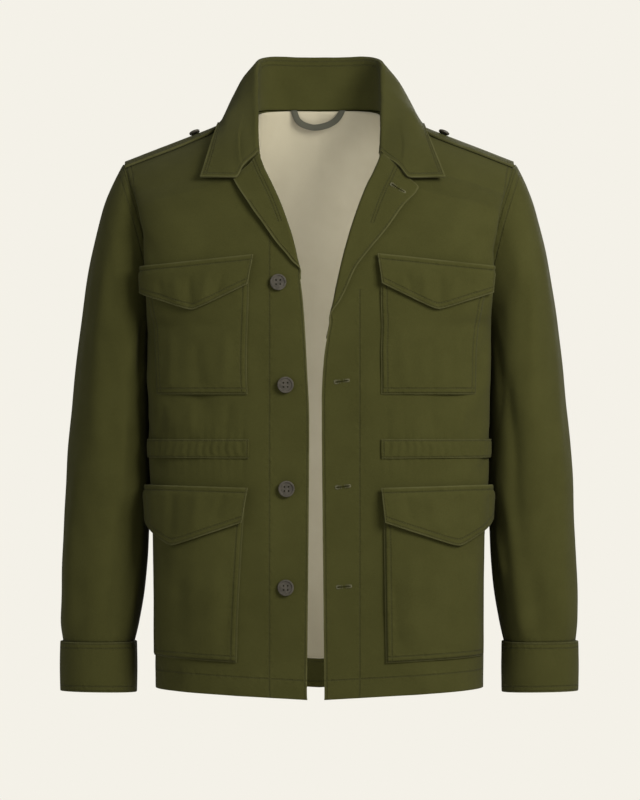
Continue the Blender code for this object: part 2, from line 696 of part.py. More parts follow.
def add_collar(tree):
    places = np.concatenate([np.linspace(0.0, 3.0, 6), np.linspace(3.8, 7.0, 5)])
    curves = curves_of(COLLAR_COLUMNS, COLLAR_ROWS)
    half = np.array(
        [
            collar_line({name: float(curve(place)) for name, curve in curves.items()})
            for place in places
        ]
    )
    grid = np.concatenate([(half * (-1, 1, 1))[:0:-1], leaning(half)])
    grid[:, :4] = kept_clear(grid[:, :4], tree, STAND_CLEAR)
    grid[:, 4:] = kept_clear(grid[:, 4:], tree, COLLAR_CLEAR)
    cloth("collar", grid, DOUBLE, "olive_twill")


# ---------------------------------------------------------------- pockets, flaps and channels
def span_of(first, last, turn):
    """Numbers from first to last, with a turn just inside each end where cloth rises."""
    whole = np.arange(first, last + 1, dtype=float)
    return np.concatenate([[first, first + turn], whole[1:-1], [last - turn, last]])


def add_pocket(side, name, top, bottom, outer, stand_off):
    """A patch pocket: its edges lie on the front and its middle stands off."""
    rows = span_of(row_at(top), row_at(bottom), POCKET_TURN)
    lines = span_of(line_at(POCKET_INNER), line_at(outer), POCKET_TURN)
    rise = np.ones((len(rows), len(lines)))
    rise[[0, -1], :] = 0.0
    rise[:, [0, -1]] = 0.0
    grid = lifted(side, rows[:, None], lines[None], PANEL_STAND + stand_off * rise)
    cloth(name, grid, SHELL, "olive_twill")


def add_flap(side, name, heights_of, middle, outer, stand_off):
    """A pointed flap, stitched above its pocket and hanging over it."""
    top, corner, point = (row_at(height) for height in heights_of)
    first, centre, last = (line_at(d) for d in (POCKET_INNER, middle, outer))
    lines = np.arange(first, last + 1)
    reach = np.where(lines < centre, centre - first, last - centre)
    away = np.abs(lines - centre) / reach
    lowest = point + (corner - point) * away
    down = np.array([0.0, 0.25, 0.65, 1.0])
    rows = top + (lowest - top)[None] * down[:, None]
    edge = SHELL / 2 + SEAM_GAP + DOUBLE / 2
    over = PANEL_STAND + stand_off + SHELL / 2 + SEAM_GAP + DOUBLE / 2
    lift = np.array([edge + stand_off + 1.6, over + 0.6, over + 0.9, over + FLAP_SPRING])
    grid = lifted(side, rows, lines[None], np.repeat(lift[:, None], len(lines), axis=1))
    swing = (FLAP_SWING * down)[:, None]
    ahead = grid[:, 1] - grid[:, 0]
    grid[:, 0] -= ahead / np.linalg.norm(ahead, axis=1, keepdims=True) * (FLAP_OVERHANG - swing)
    ahead = grid[:, -1] - grid[:, -2]
    grid[:, -1] += ahead / np.linalg.norm(ahead, axis=1, keepdims=True) * (FLAP_OVERHANG + swing)
    cloth(name, grid, DOUBLE, "olive_twill")


def add_channel(side, name):
    """The waist channel: a casing stitched to the front, up to the side seam."""
    rows = np.array([row_at(CHANNEL_TOP), row_at(CHANNEL_BOTTOM)])
    lines = np.arange(line_at(POCKET_INNER), len(FRONT_DISTANCES) + 1.0)
    grid = lifted(side, rows[:, None], lines[None], np.full((2, len(lines)), PANEL_STAND))
    cloth(name, grid, SHELL, "olive_twill")


def add_front_pieces():
    chest = (CHEST_HEIGHT, CHEST_CORNER, CHEST_POINT)
    hip = (HIP_HEIGHT, HIP_CORNER, HIP_POINT)
    for side, name in ((-1, "right"), (1, "left")):
        add_pocket(
            side, "chest_pocket_" + name, CHEST_HEIGHT, CHEST_BOTTOM, CHEST_OUTER, CHEST_STAND_OFF
        )
        add_pocket(side, "hip_pocket_" + name, HIP_HEIGHT, HIP_BOTTOM, HIP_OUTER, HIP_STAND_OFF)
        add_flap(side, "chest_flap_" + name, chest, CHEST_MIDDLE, CHEST_OUTER, CHEST_STAND_OFF)
        add_flap(side, "hip_flap_" + name, hip, HIP_MIDDLE, HIP_OUTER, HIP_STAND_OFF)
        add_channel(side, "waist_channel_" + name)
        add_lapel(side, "lapel_facing_" + name)


# ---------------------------------------------------------------- straps, loop and buttons
def top_of(tree, x, y):
    """Height of the shoulder under this place, and the way it faces."""
    for aside in SEAM_ASIDE:
        start = Vector((x, y + aside, 300.0))
        point, normal, _, _ = tree.ray_cast(start, Vector((0.0, 0.0, -1.0)))
        if point is not None:
            point.y = y
            return point, normal if normal.z > 0 else -normal
    raise ValueError(f"nothing lies under {x}, {y}")


def add_strap(side, name, tree):
    """A shoulder strap from the armhole to its rounded free end, lying over the shoulder seam."""
    along = np.array([0.0, 0.12, 0.35, 0.58, 0.8, 0.92, 0.98, 1.0])
    narrow = np.array([1.0, 1.0, 1.0, 1.0, 1.0, 0.86, 0.55, 0.25])
    lift = SHELL / 2 + STRAP_LIFT + STRAP_THICK / 2
    grid = []
    for share, ending in zip(along, narrow):
        x = STRAP_OUTER + (STRAP_INNER - STRAP_OUTER) * share
        beyond = max(x - STRAP_SEAT, 0.0)
        wide = STRAP_HALF_WIDTH + (STRAP_END_HALF_WIDTH - STRAP_HALF_WIDTH) * share
        line = []
        for across in (-1.0, -0.5, 0.0, 0.5, 1.0):
            point, _ = top_of(tree, side * (x - beyond), SEAM_DEPTH + across * wide * ending)
            rise = (side * (0.26 * lift + beyond), 0.0, 0.966 * lift + SHOULDER_SLOPE * beyond)
            line.append(np.array(point) + rise)
        grid.append(line)
    cloth(name, np.array(grid), STRAP_THICK, "olive_twill")


def add_button(name, place, facing, diameter, thick):
    """A round four-hole button with a raised rim: a turned profile, its holes cut through."""
    radius = diameter / 2
    profile = (
        (0.0, thick - 1.0),
        (radius - BUTTON_RIM - 0.6, thick - 1.0),
        (radius - BUTTON_RIM, thick),
        (radius - 0.6, thick),
        (radius, thick - 0.6),
        (radius, 0.8),
        (radius - 1.0, 0.0),
        (0.0, 0.0),
    )
    mesh = bpy.data.meshes.new(name)
    points = [(out * MM, 0.0, height * MM) for out, height in profile]
    mesh.from_pydata(points, [(i, i + 1) for i in range(len(points) - 1)], [])
    mesh.materials.append(MATERIALS["button_plastic"])
    button = bpy.data.objects.new(name, mesh)
    JACKET.objects.link(button)
    turned = button.modifiers.new("turned", "SCREW")
    turned.steps = turned.render_steps = BUTTON_SIDES
    turned.use_merge_vertices = True
    turned.merge_threshold = 1e-5
    cutter = hole_cutter(name + "_holes", thick)
    holes = button.modifiers.new("holes", "BOOLEAN")
    holes.operation = "DIFFERENCE"
    holes.solver = "EXACT"
    holes.object = cutter
    for piece in (button, cutter):
        piece.location = Vector(place - np.array([0.0, BACK_NECK_DEPTH, 0.0])) * MM
        piece.rotation_mode = "QUATERNION"
        piece.rotation_quaternion = Vector((0, 0, 1)).rotation_difference(Vector(facing))


def hole_cutter(name, thick):
    """Four round posts that cut a button's sewing holes."""
    shape = bmesh.new()
    for x in (-1, 1):
        for y in (-1, 1):
            post = bmesh.ops.create_cone(
                shape,
                cap_ends=True,
                segments=8,
                radius1=BUTTON_HOLE / 2 * MM,
                radius2=BUTTON_HOLE / 2 * MM,
                depth=thick * 3 * MM,
            )
            shift = Vector((x, y, 0)) * BUTTON_HOLE_SPREAD * MM
            bmesh.ops.translate(shape, verts=post["verts"], vec=shift)
    mesh = bpy.data.meshes.new(name)
    shape.to_mesh(mesh)
    shape.free()
    cutter = bpy.data.objects.new(name, mesh)
    CUTTERS.objects.link(cutter)
    cutter.hide_render = True
    cutter.display_type = "WIRE"
    return cutter


def add_buttons(tree):
    for number, height in enumerate(BUTTON_HEIGHTS, start=1):
        row = np.full(2, row_at(height))
        line = np.full(2, line_beside(-1, height, BUTTON_INSET))
        place, tip = lifted(-1, row, line, SHELL / 2 + BUTTON_STAND + np.array([0.0, 1.0]))
        add_button(f"button_{number}", place, tip - place, BUTTON_DIAMETER, BUTTON_THICK)
    for side, name in ((-1, "right"), (1, "left")):
        point, normal = top_of(tree, side * STRAP_BUTTON_X, SEAM_DEPTH)
        lift = SHELL / 2 + STRAP_LIFT + STRAP_THICK + STRAP_BUTTON_STAND
        add_button(
            "strap_button_" + name,
            np.array(point + normal * lift),
            normal,
            STRAP_BUTTON_DIAMETER,
            STRAP_BUTTON_THICK,
        )


def add_loop():
    """The hanger loop, a flat tape hanging in a shallow curve from the back neck seam."""
    curve = path_curve([(x, LOOP_DEPTH, z) for x, z in LOOP_ROWS])
    share = np.linspace(0.0, 1.0, 15)
    line = curve(share)
    ahead = np.gradient(line, axis=0)
    ahead /= np.linalg.norm(ahead, axis=1, keepdims=True)
    across = np.stack([ahead[:, 2], np.zeros(len(line)), -ahead[:, 0]], axis=-1)
    across[0] = across[-1] = (0.0, 0.0, 0.0)
    across[0][0] = -1.0
    across[-1][0] = 1.0
    grid = np.stack([line - across * LOOP_WIDTH / 2, line + across * LOOP_WIDTH / 2], axis=1)
    cloth("hanger_loop", grid, LOOP_THICK, "loop_tape")


# ---------------------------------------------------------------- the scene
def clear_scene():
    for obj in list(bpy.data.objects):
        bpy.data.objects.remove(obj, do_unlink=True)


def make_materials():
    made = {}
    for name, colour in COLOURS.items():
        material = bpy.data.materials.new(name)
        material.use_nodes = True
        shader = material.node_tree.nodes["Principled BSDF"]
        shader.inputs["Base Color"].default_value = colour
        shader.inputs["Roughness"].default_value = 0.45 if name == "button_plastic" else 0.9
        made[name] = material
    return made


def new_collection(name):
    collection = bpy.data.collections.new(name)
    bpy.context.scene.collection.children.link(collection)
    return collection


clear_scene()
JACKET = new_collection("field_jacket")
CUTTERS = new_collection("cutters")
MATERIALS = make_materials()

FRONTS = {side: front_grid(side) for side in (-1, 1)}
FRONT_NORMALS = {side: normals_facing_out(grid) for side, grid in FRONTS.items()}
BACK_POINTS = back_grid()
BODY = surface_tree([*FRONTS.values(), BACK_POINTS])

add_body()
add_sleeves()
add_collar(BODY)
add_front_pieces()
for SIDE, NAME in ((-1, "strap_right"), (1, "strap_left")):
    add_strap(SIDE, NAME, BODY)
add_loop()
add_buttons(BODY)
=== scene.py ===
"""Looks of the field jacket: each CAD wall of cloth is replaced by a fine shell on the same form.

Lengths in the tables are millimetres. X runs to the wearer's left, Y to the back and Z up; the
tables count Y from the side seams, and the frame counts it from the back neck seam.
"""

import math

import bpy
import numpy as np
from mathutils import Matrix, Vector
from mathutils.bvhtree import BVHTree


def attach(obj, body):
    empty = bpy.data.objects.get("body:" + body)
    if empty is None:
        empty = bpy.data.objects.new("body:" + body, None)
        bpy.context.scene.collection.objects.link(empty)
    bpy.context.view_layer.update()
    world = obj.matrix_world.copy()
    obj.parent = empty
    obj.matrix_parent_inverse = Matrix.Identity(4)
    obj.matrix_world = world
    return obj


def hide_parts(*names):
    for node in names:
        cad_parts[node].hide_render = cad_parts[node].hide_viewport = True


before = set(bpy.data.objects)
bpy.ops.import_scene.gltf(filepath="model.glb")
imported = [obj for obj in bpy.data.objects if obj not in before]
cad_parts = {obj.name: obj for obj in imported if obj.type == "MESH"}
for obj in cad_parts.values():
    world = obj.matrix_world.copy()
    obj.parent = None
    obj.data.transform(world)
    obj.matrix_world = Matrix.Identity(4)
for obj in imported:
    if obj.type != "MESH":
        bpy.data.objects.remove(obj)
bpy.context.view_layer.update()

MM = 0.001
TURN = 2 * math.pi

# ---------------------------------------------------------------- sizes shared with the CAD
BACK_NECK_DEPTH = 75.0
SHELL = 1.6
DOUBLE = 2.4
LINING = 1.0
STRAP_THICK = 3.0
SEAM_GAP = 0.3
PANEL_STAND = SHELL + SEAM_GAP
COLLAR_CLEAR = 8.0
SEAM_DEPTH = 6.0
SEAM_ASIDE = (0.0, 1.5, -1.5, 3.0, -3.0)
ARMPIT = -284.0
HEM = -749.0
HEM_BAND = 36.0
LINING_INSET = 2.4
HEM_CURL = 0.052  # share by which the hem's edge is drawn in
HEM_CURL_RISE = 13.0
HEM_CURL_WITHIN = 216.0
CUFF_TOP = -681.0
CUFF_BOTTOM = -745.0
CUFF_EASE = 1.8
BUTTON_THICK = 3.6
BUTTON_HOLE_SPREAD = 2.6
BUTTON_STAND = 2.0
BUTTON_INSET = 28.0
BUTTON_HEIGHTS = (-225.0, -355.0, -486.0, -610.0)
STRAP_BUTTON_THICK = 3.0

ROW_COLUMNS = ("z_in", "y_in", "z_out", "x_out", "y_out", "squareness", "drape")
FRONT_ROWS = (
    (-9.0, 8.0, -74.0, 250.0, 5.0, 2.2, 0.0),
    (-15.0, -9.0, -78.0, 248.0, -9.0, 2.3, 0.0),
    (-30.0, -34.0, -89.0, 243.5, -25.0, 2.5, 0.0),
    (-50.0, -56.0, -104.0, 238.0, -37.0, 2.8, 0.0),
    (-75.0, -76.0, -122.0, 231.0, -46.0, 3.2, 2.0),
    (-105.0, -93.0, -144.0, 223.5, -52.0, 3.6, 5.0),
    (-140.0, -107.0, -169.0, 217.0, -54.0, 3.8, 8.0),
    (-180.0, -116.0, -200.0, 211.0, -52.0, 3.8, 12.0),
    (-220.0, -121.0, -234.0, 206.0, -42.0, 3.6, 16.0),
    (-256.0, -124.0, -264.0, 202.0, -24.0, 3.4, 19.0),
    (-284.0, -125.0, -284.0, 200.0, 0.0, 3.3, 21.0),
    (-330.0, -126.0, -330.0, 203.0, 0.0, 3.3, 18.0),
    (-380.0, -126.0, -380.0, 205.0, 0.0, 3.4, 14.0),
    (-430.0, -124.0, -430.0, 206.5, 0.0, 3.5, 12.0),
    (-490.0, -124.0, -484.0, 208.0, 0.0, 3.6, 8.0),
    (-560.0, -126.0, -551.0, 208.5, 0.0, 3.7, 1.0),
    (-640.0, -127.0, -630.0, 208.5, 0.0, 3.6, 0.0),
    (-749.0, -127.0, -738.0, 208.0, 0.0, 3.5, 0.0),
)
BACK_ROWS = (
    (0.0, 75.0, -74.0, 250.0, 5.0, 2.3, 0.0),
    (-12.0, 80.0, -79.0, 248.0, 17.0, 2.3, 0.0),
    (-38.0, 91.0, -96.0, 241.0, 33.0, 2.4, 0.0),
    (-75.0, 102.0, -120.0, 232.5, 46.0, 2.5, 0.0),
    (-112.0, 110.0, -146.0, 225.0, 55.0, 2.6, 1.0),
    (-152.0, 117.0, -176.0, 218.0, 60.0, 2.7, 2.0),
    (-192.0, 121.0, -206.0, 212.0, 58.0, 2.8, 4.0),
    (-232.0, 123.0, -239.0, 207.0, 47.0, 2.8, 6.0),
    (-263.0, 123.0, -266.0, 203.0, 27.0, 2.8, 7.0),
    (-284.0, 123.0, -284.0, 200.0, 0.0, 2.8, 8.0),
    (-330.0, 122.0, -330.0, 203.0, 0.0, 2.7, 8.0),
    (-380.0, 118.0, -380.0, 205.0, 0.0, 2.6, 7.0),
    (-430.0, 113.0, -430.0, 206.5, 0.0, 2.6, 5.0),
    (-490.0, 111.0, -484.0, 208.0, 0.0, 2.5, 3.0),
    (-560.0, 114.0, -551.0, 208.5, 0.0, 2.5, 1.0),
    (-640.0, 119.0, -630.0, 208.5, 0.0, 2.5, 0.0),
    (-749.0, 122.0, -738.0, 208.0, 0.0, 2.5, 0.0),
)
NECK_ROWS = (
    (0.0, 75.0, 0.0),
    (38.0, 74.0, 0.0),
    (63.0, 64.0, -1.0),
    (77.0, 43.0, -4.0),
    (82.0, 8.0, -9.0),
)
NECK_BLEND = 62.0

EDGE_COLUMNS = ("z", "edge", "lapel")
EDGE_RIGHT = (
    (-9.0, 82.0, 0.0),
    (-30.0, 81.0, 0.0),
    (-50.0, 79.5, 0.0),
    (-63.0, 77.0, 1.0),
    (-73.5, 73.0, 14.0),
    (-80.0, 70.5, 28.0),
    (-86.0, 68.0, 41.0),
    (-90.0, 66.0, 41.5),
    (-127.0, 49.0, 37.0),
    (-150.0, 40.5, 30.0),
    (-172.0, 33.5, 22.5),
    (-198.0, 27.5, 8.5),
    (-220.0, 24.0, 0.5),
    (-255.0, 20.0, 0.0),
    (-330.0, 15.5, 0.0),
    (-400.0, 12.5, 0.0),
    (-560.0, 13.5, 0.0),
    (-749.0, 15.5, 0.0),
)
EDGE_LEFT = (
    (-9.0, 82.0, 0.0),
    (-30.0, 81.0, 0.0),
    (-50.0, 79.5, 0.0),
    (-62.0, 78.0, 1.0),
    (-72.5, 74.8, 20.5),
    (-84.0, 69.8, 41.5),
    (-94.5, 65.0, 61.0),
    (-98.0, 63.0, 61.0),
    (-121.0, 53.0, 53.5),
    (-153.0, 41.8, 44.0),
    (-185.0, 32.4, 29.0),
    (-208.0, 26.7, 18.5),
    (-235.0, 20.9, 12.5),
    (-250.0, 18.0, 8.0),
    (-280.0, 13.0, 0.5),
    (-320.0, 6.0, 0.0),
    (-375.0, 3.0, 0.0),
    (-560.0, 4.5, 0.0),
    (-749.0, 6.5, 0.0),
)
LAPEL_FROM = -61.0
LAPEL_END = {-1: -226.0, 1: -300.0}
LAPEL_RADIUS = 2.2  # of the cloth's fold at the roll line
LAPEL_SPRING = (0.8, 3.2)  # how far the free edge lifts, under the collar and below it

SLEEVE_COLUMNS = ("x_outer", "z_outer", "x_inner", "z_inner", "y_mid", "half_depth", "squareness")
SLEEVE_ROWS = (
    (250.0, -74.0, 202.0, -284.0, 3.0, 58.0, 2.2),
    (260.0, -90.0, 208.5, -289.0, 3.0, 62.0, 2.2),
    (271.0, -116.0, 213.0, -297.0, 3.0, 67.0, 2.2),
    (281.0, -150.0, 215.0, -311.0, 3.0, 71.0, 2.2),
    (289.5, -186.0, 215.5, -330.0, 3.0, 73.0, 2.2),
    (297.0, -228.0, 215.5, -356.0, 3.0, 74.0, 2.2),
    (304.0, -276.0, 215.5, -388.0, 3.0, 73.0, 2.2),
    (310.5, -328.0, 215.5, -422.0, 3.0, 71.0, 2.2),
    (316.0, -378.0, 214.5, -456.0, 2.5, 68.5, 2.2),
    (320.5, -430.0, 214.0, -492.0, 1.5, 66.0, 2.2),
    (323.5, -486.0, 217.5, -530.0, 0.0, 63.0, 2.2),
    (326.0, -544.0, 219.5, -570.0, -3.0, 60.0, 2.2),
    (328.0, -602.0, 223.5, -614.0, -6.5, 55.5, 2.2),
    (328.5, -650.0, 230.0, -654.0, -9.5, 51.0, 2.2),
    (325.0, -688.0, 238.0, -688.0, -11.0, 46.0, 2.2),
)
SLEEVE_BLEND = 2.5
ARMHOLE_GAP_TOP = 0.7
ARMHOLE_GAP_SPREAD = 1.7
ARMHOLE_TUCK = 6.0  # the sleeve's seam allowance, under the panels

COLLAR_COLUMNS = (
    "x_neck", "y_neck", "z_neck", "x_roll", "y_roll", "z_roll",
    "x_fall", "y_fall", "z_fall", "x_edge", "y_edge", "z_edge",
)
COLLAR_ROWS = (
    (0.0, 76.0, 1.6, 0.0, 88.0, 70.0, 0.0, 101.0, 30.0, 0.0, 98.0, -20.0),
    (38.0, 75.0, 1.6, 40.0, 86.0, 70.0, 45.0, 99.0, 30.0, 48.0, 95.0, -21.0),
    (63.0, 65.5, 1.0, 67.0, 73.0, 69.0, 84.0, 84.0, 28.0, 96.0, 81.0, -22.0),
    (77.5, 44.0, -1.6, 81.5, 46.0, 60.5, 109.0, 55.0, 21.0, 126.0, 53.0, -19.0),
    (81.0, 12.0, -5.6, 81.5, 17.0, 32.0, 114.0, 22.0, 4.0, 127.5, 22.0, -21.0),
    (81.0, -13.0, -13.0, 81.0, -10.0, 4.0, 117.0, -10.0, -12.0, 130.5, -12.0, -30.0),
    (80.0, -37.0, -33.0, 80.0, -38.0, -27.0, 113.0, -46.0, -44.0, 138.5, -48.0, -54.0),
    (79.0, -60.0, -55.0, 78.0, -67.0, -60.0, 106.0, -92.0, -94.0, 150.0, -84.0, -93.0),
)
COLLAR_ROLL = 2.8
COLLAR_LEAN = 0.058  # share of its depth by which the left wing lies further out
COLLAR_LEAN_FROM = 60.0
COLLAR_SWELL = 3.5  # how far the fall swells out below its roll

POCKET_INNER = 74.0
CHEST_MIDDLE = 137.0
HIP_MIDDLE = 163.0
CHEST_OUTER = 200.0
HIP_OUTER = 228.0
CHEST_HEIGHT = -187.0
CHEST_CORNER = -225.0
CHEST_POINT = -254.0
CHEST_BOTTOM = -367.0
CHANNEL_TOP = -423.0
CHANNEL_BOTTOM = -448.0
HIP_HEIGHT = -486.0
HIP_CORNER = -531.0
HIP_POINT = -564.0
HIP_BOTTOM = -707.0
POCKET_COLUMNS = ("z", "inner", "outer")
POCKETS_RIGHT = (
    (-187.0, 56.0, 200.0),
    (-225.0, 65.0, 200.0),
    (-367.0, 76.0, 200.0),
    (-435.0, 75.0, 200.0),
    (-486.0, 79.0, 200.0),
    (-707.0, 88.0, 200.0),
    (-749.0, 88.0, 200.0),
)
POCKETS_LEFT = (
    (-187.0, 44.0, 188.0),
    (-225.0, 54.0, 190.0),
    (-367.0, 74.0, 200.0),
    (-435.0, 74.0, 200.0),
    (-486.0, 76.0, 200.0),
    (-707.0, 77.0, 200.0),
    (-749.0, 77.0, 200.0),
)
CHEST_STAND_OFF = 2.4
HIP_STAND_OFF = 5.0
POCKET_FULLNESS = 0.72
POCKET_EDGE = 4.2  # width of the turned edge over which a pocket stands up
FLAP_OVERHANG = 3.0
FLAP_SWING = 4.0
FLAP_SPRING = 1.2

STRAP_OUTER = 247.0
STRAP_INNER = 130.0
STRAP_HALF_WIDTH = 21.0
STRAP_END_HALF_WIDTH = 19.0
STRAP_LIFT = 1.6
STRAP_SEAT = 235.0
SHOULDER_SLOPE = -0.387
STRAP_BUTTON_X = 157.0
STRAP_BUTTON_STAND = 0.5

LOOP_WIDTH = 8.0
LOOP_THICK = 1.8
LOOP_ROWS = (
    (-33.0, 0.8),
    (-28.0, -12.0),
    (-18.0, -19.0),
    (-6.0, -21.5),
    (10.0, -18.5),
    (22.0, -11.5),
    (30.0, 0.8),
)
LOOP_DEPTH = 69.4

LAPEL_MAP = 300.0  # what the lapel's distances beyond its fold are counted from, in the far map
INSIDE = (0.6, 20.0, -260.0)  # share of X, then Y and Z, of a place every panel faces away from

# ---------------------------------------------------------------- fineness
FINE = 500  # points along a section before it is shared out by length
FRONT_RUNS = ((-9.0, -58.0, 18), (-59.0, -100.0, 46), (-101.5, -120.0, 12), (-123.0, -749.0, 195))
FRONT_LINES = 104
LAPEL_LINES = 26
BACK_MESH = (200, 69)  # lines across one half
SLEEVE_MESH = (150, 92)
COLLAR_MESH = (58, 44)  # sections along one half, points across
PIECE_STEP = 2.6  # mesh size of pockets, flaps and the channel


# ---------------------------------------------------------------- curves
def column_curve(at, values):
    """A smooth curve through a table's column that never overshoots (monotone cubic)."""
    order = np.argsort(at)
    x = np.asarray(at, float)[order]
    y = np.asarray(values, float)[order]
    step = np.diff(x)
    slope = np.diff(y) / step
    tangent = np.zeros(len(x))
    tangent[0] = slope[0]
    tangent[-1] = slope[-1]
    for i in range(1, len(x) - 1):
        if slope[i - 1] * slope[i] > 0:
            before = 2 * step[i] + step[i - 1]
            after = step[i] + 2 * step[i - 1]
            tangent[i] = (before + after) / (before / slope[i - 1] + after / slope[i])

    def curve(q):
        q = np.asarray(q, float)
        i = np.clip(np.searchsorted(x, q) - 1, 0, len(x) - 2)
        h = step[i]
        s = (q - x[i]) / h
        return (
            (1 + 2 * s) * (1 - s) ** 2 * y[i]
            + s * (1 - s) ** 2 * h * tangent[i]
            + s**2 * (3 - 2 * s) * y[i + 1]
            + s**2 * (s - 1) * h * tangent[i + 1]
        )

    return curve


def curves_of(columns, rows, along=None):
    """A curve through each of a table's columns, by row number unless along is given."""
    at = range(len(rows)) if along is None else along
    return {name: column_curve(at, [row[i] for row in rows]) for i, name in enumerate(columns)}


def curves_by_height(columns, rows):
    return curves_of(columns, rows, [row[0] for row in rows])


def path_curve(points):
    """A curve through points, by the fraction of its length."""
    points = np.asarray(points, float)
    length = run_of(points)
    axes = [column_curve(length / length[-1], points[:, i]) for i in range(points.shape[1])]
    return lambda q: np.stack([axis(q) for axis in axes], axis=-1)


def smooth_step(value):
    value = np.clip(value, 0.0, 1.0)
    return value * value * (3 - 2 * value)


def run_of(polyline):
    return np.concatenate([[0.0], np.cumsum(np.linalg.norm(np.diff(polyline, axis=0), axis=1))])


def by_length(polyline, distance):
    """Points of a polyline at these distances along it; the ends carry straight on."""
    run = run_of(polyline)
    distance = np.asarray(distance, float)
    inside = np.stack([np.interp(distance, run, polyline[:, i]) for i in range(3)], axis=-1)
    first = polyline[0] - polyline[1]
    last = polyline[-1] - polyline[-2]
    before = np.maximum(-distance, 0.0)[..., None] * first / np.linalg.norm(first)
    beyond = np.maximum(distance - run[-1], 0.0)[..., None] * last / np.linalg.norm(last)
    return inside + before + beyond


# ---------------------------------------------------------------- body surfaces
DRAPE_PEAK = 0.08192  # the most that t**4 * (1 - t) comes to
FRONT = curves_by_height(ROW_COLUMNS, FRONT_ROWS)
BACK = curves_by_height(ROW_COLUMNS, BACK_ROWS)
EDGES = {-1: curves_by_height(EDGE_COLUMNS, EDGE_RIGHT), 1: curves_by_height(EDGE_COLUMNS, EDGE_LEFT)}
POCKETS = {
    -1: curves_by_height(POCKET_COLUMNS, POCKETS_RIGHT),
    1: curves_by_height(POCKET_COLUMNS, POCKETS_LEFT),
}
NECK = path_curve(NECK_ROWS)
SLEEVES = curves_of(SLEEVE_COLUMNS, SLEEVE_ROWS)


def section(rows, height, x_in):
    """One section of a body surface, for the left side: a superellipse corner with its drape."""
    t = np.sin(np.linspace(0.0, math.pi / 2, FINE)) ** 2
    row = {name: float(curve(height)) for name, curve in rows.items()}
    power = 2.0 / row["squareness"]
    out = np.sin(math.pi * t / 2) ** power
    front = np.cos(math.pi * t / 2).clip(0.0) ** power
    bump = t**4 * (1 - t) / DRAPE_PEAK
    x = x_in + (row["x_out"] - x_in) * out + row["drape"] * bump
    y = row["y_out"] + (row["y_in"] - row["y_out"]) * front
    z = row["z_in"] + (row["z_out"] - row["z_in"]) * out
    return np.stack([x, y, z], axis=-1)


def front_section(side, height):
    line = section(FRONT, height, float(EDGES[side]["edge"](height)))
    return line * (side, 1, 1)


def back_section(height):
    """The left half of the back's section; near the neck it takes the neck and shoulder seams."""
    line = section(BACK, height, 0.0)
    blend = float(smooth_step(1.0 + height / NECK_BLEND))
    if blend <= 0:
        return line
    neck = NECK(np.linspace(0.0, 1.0, FINE))
    tip = np.array(BACK_ROWS[0][3:5] + BACK_ROWS[0][2:3])
    seam = np.linspace(neck[-1], tip, FINE)
    top = np.concatenate([neck, seam[1:]])
    fraction = np.linspace(0.0, 1.0, FINE)
    top = by_length(top, fraction * run_of(top)[-1])
    line = by_length(line, fraction * run_of(line)[-1])
    return line * (1 - blend) + top * blend


def front_at(side, distance, height):
    """Points of a front at these distances from its fold or edge and these heights of the edge."""
    distance, height = np.broadcast_arrays(distance, height)
    points = np.empty(distance.shape + (3,))
    for level in np.unique(height):
        here = height == level
        points[here] = by_length(front_section(side, level), distance[here])
    return points


def normals_of(grid, round_tube=False):
    """Unit normals of a grid of points, from its own neighbours."""
    if round_tube:
        across = np.roll(grid, -1, axis=1) - np.roll(grid, 1, axis=1)
    else:
        across = np.gradient(grid, axis=1)
    along = np.gradient(grid, axis=0)
    normal = np.cross(across, along)
    return normal / np.maximum(np.linalg.norm(normal, axis=-1, keepdims=True), 1e-9)


def facing_out(grid):
    """The grid's normals, turned away from a place inside the body."""
    normal = normals_of(grid)
    inside = np.stack(
        [INSIDE[0] * grid[..., 0]] + [np.full(grid.shape[:2], at) for at in INSIDE[1:]], axis=-1
    )
    return normal * np.sign(np.sum((grid - inside) * normal, axis=-1, keepdims=True))


# ---------------------------------------------------------------- folds of the cloth
CREASE_COLUMNS = ("a0", "b0", "a1", "b1", "width", "depth", "bend")
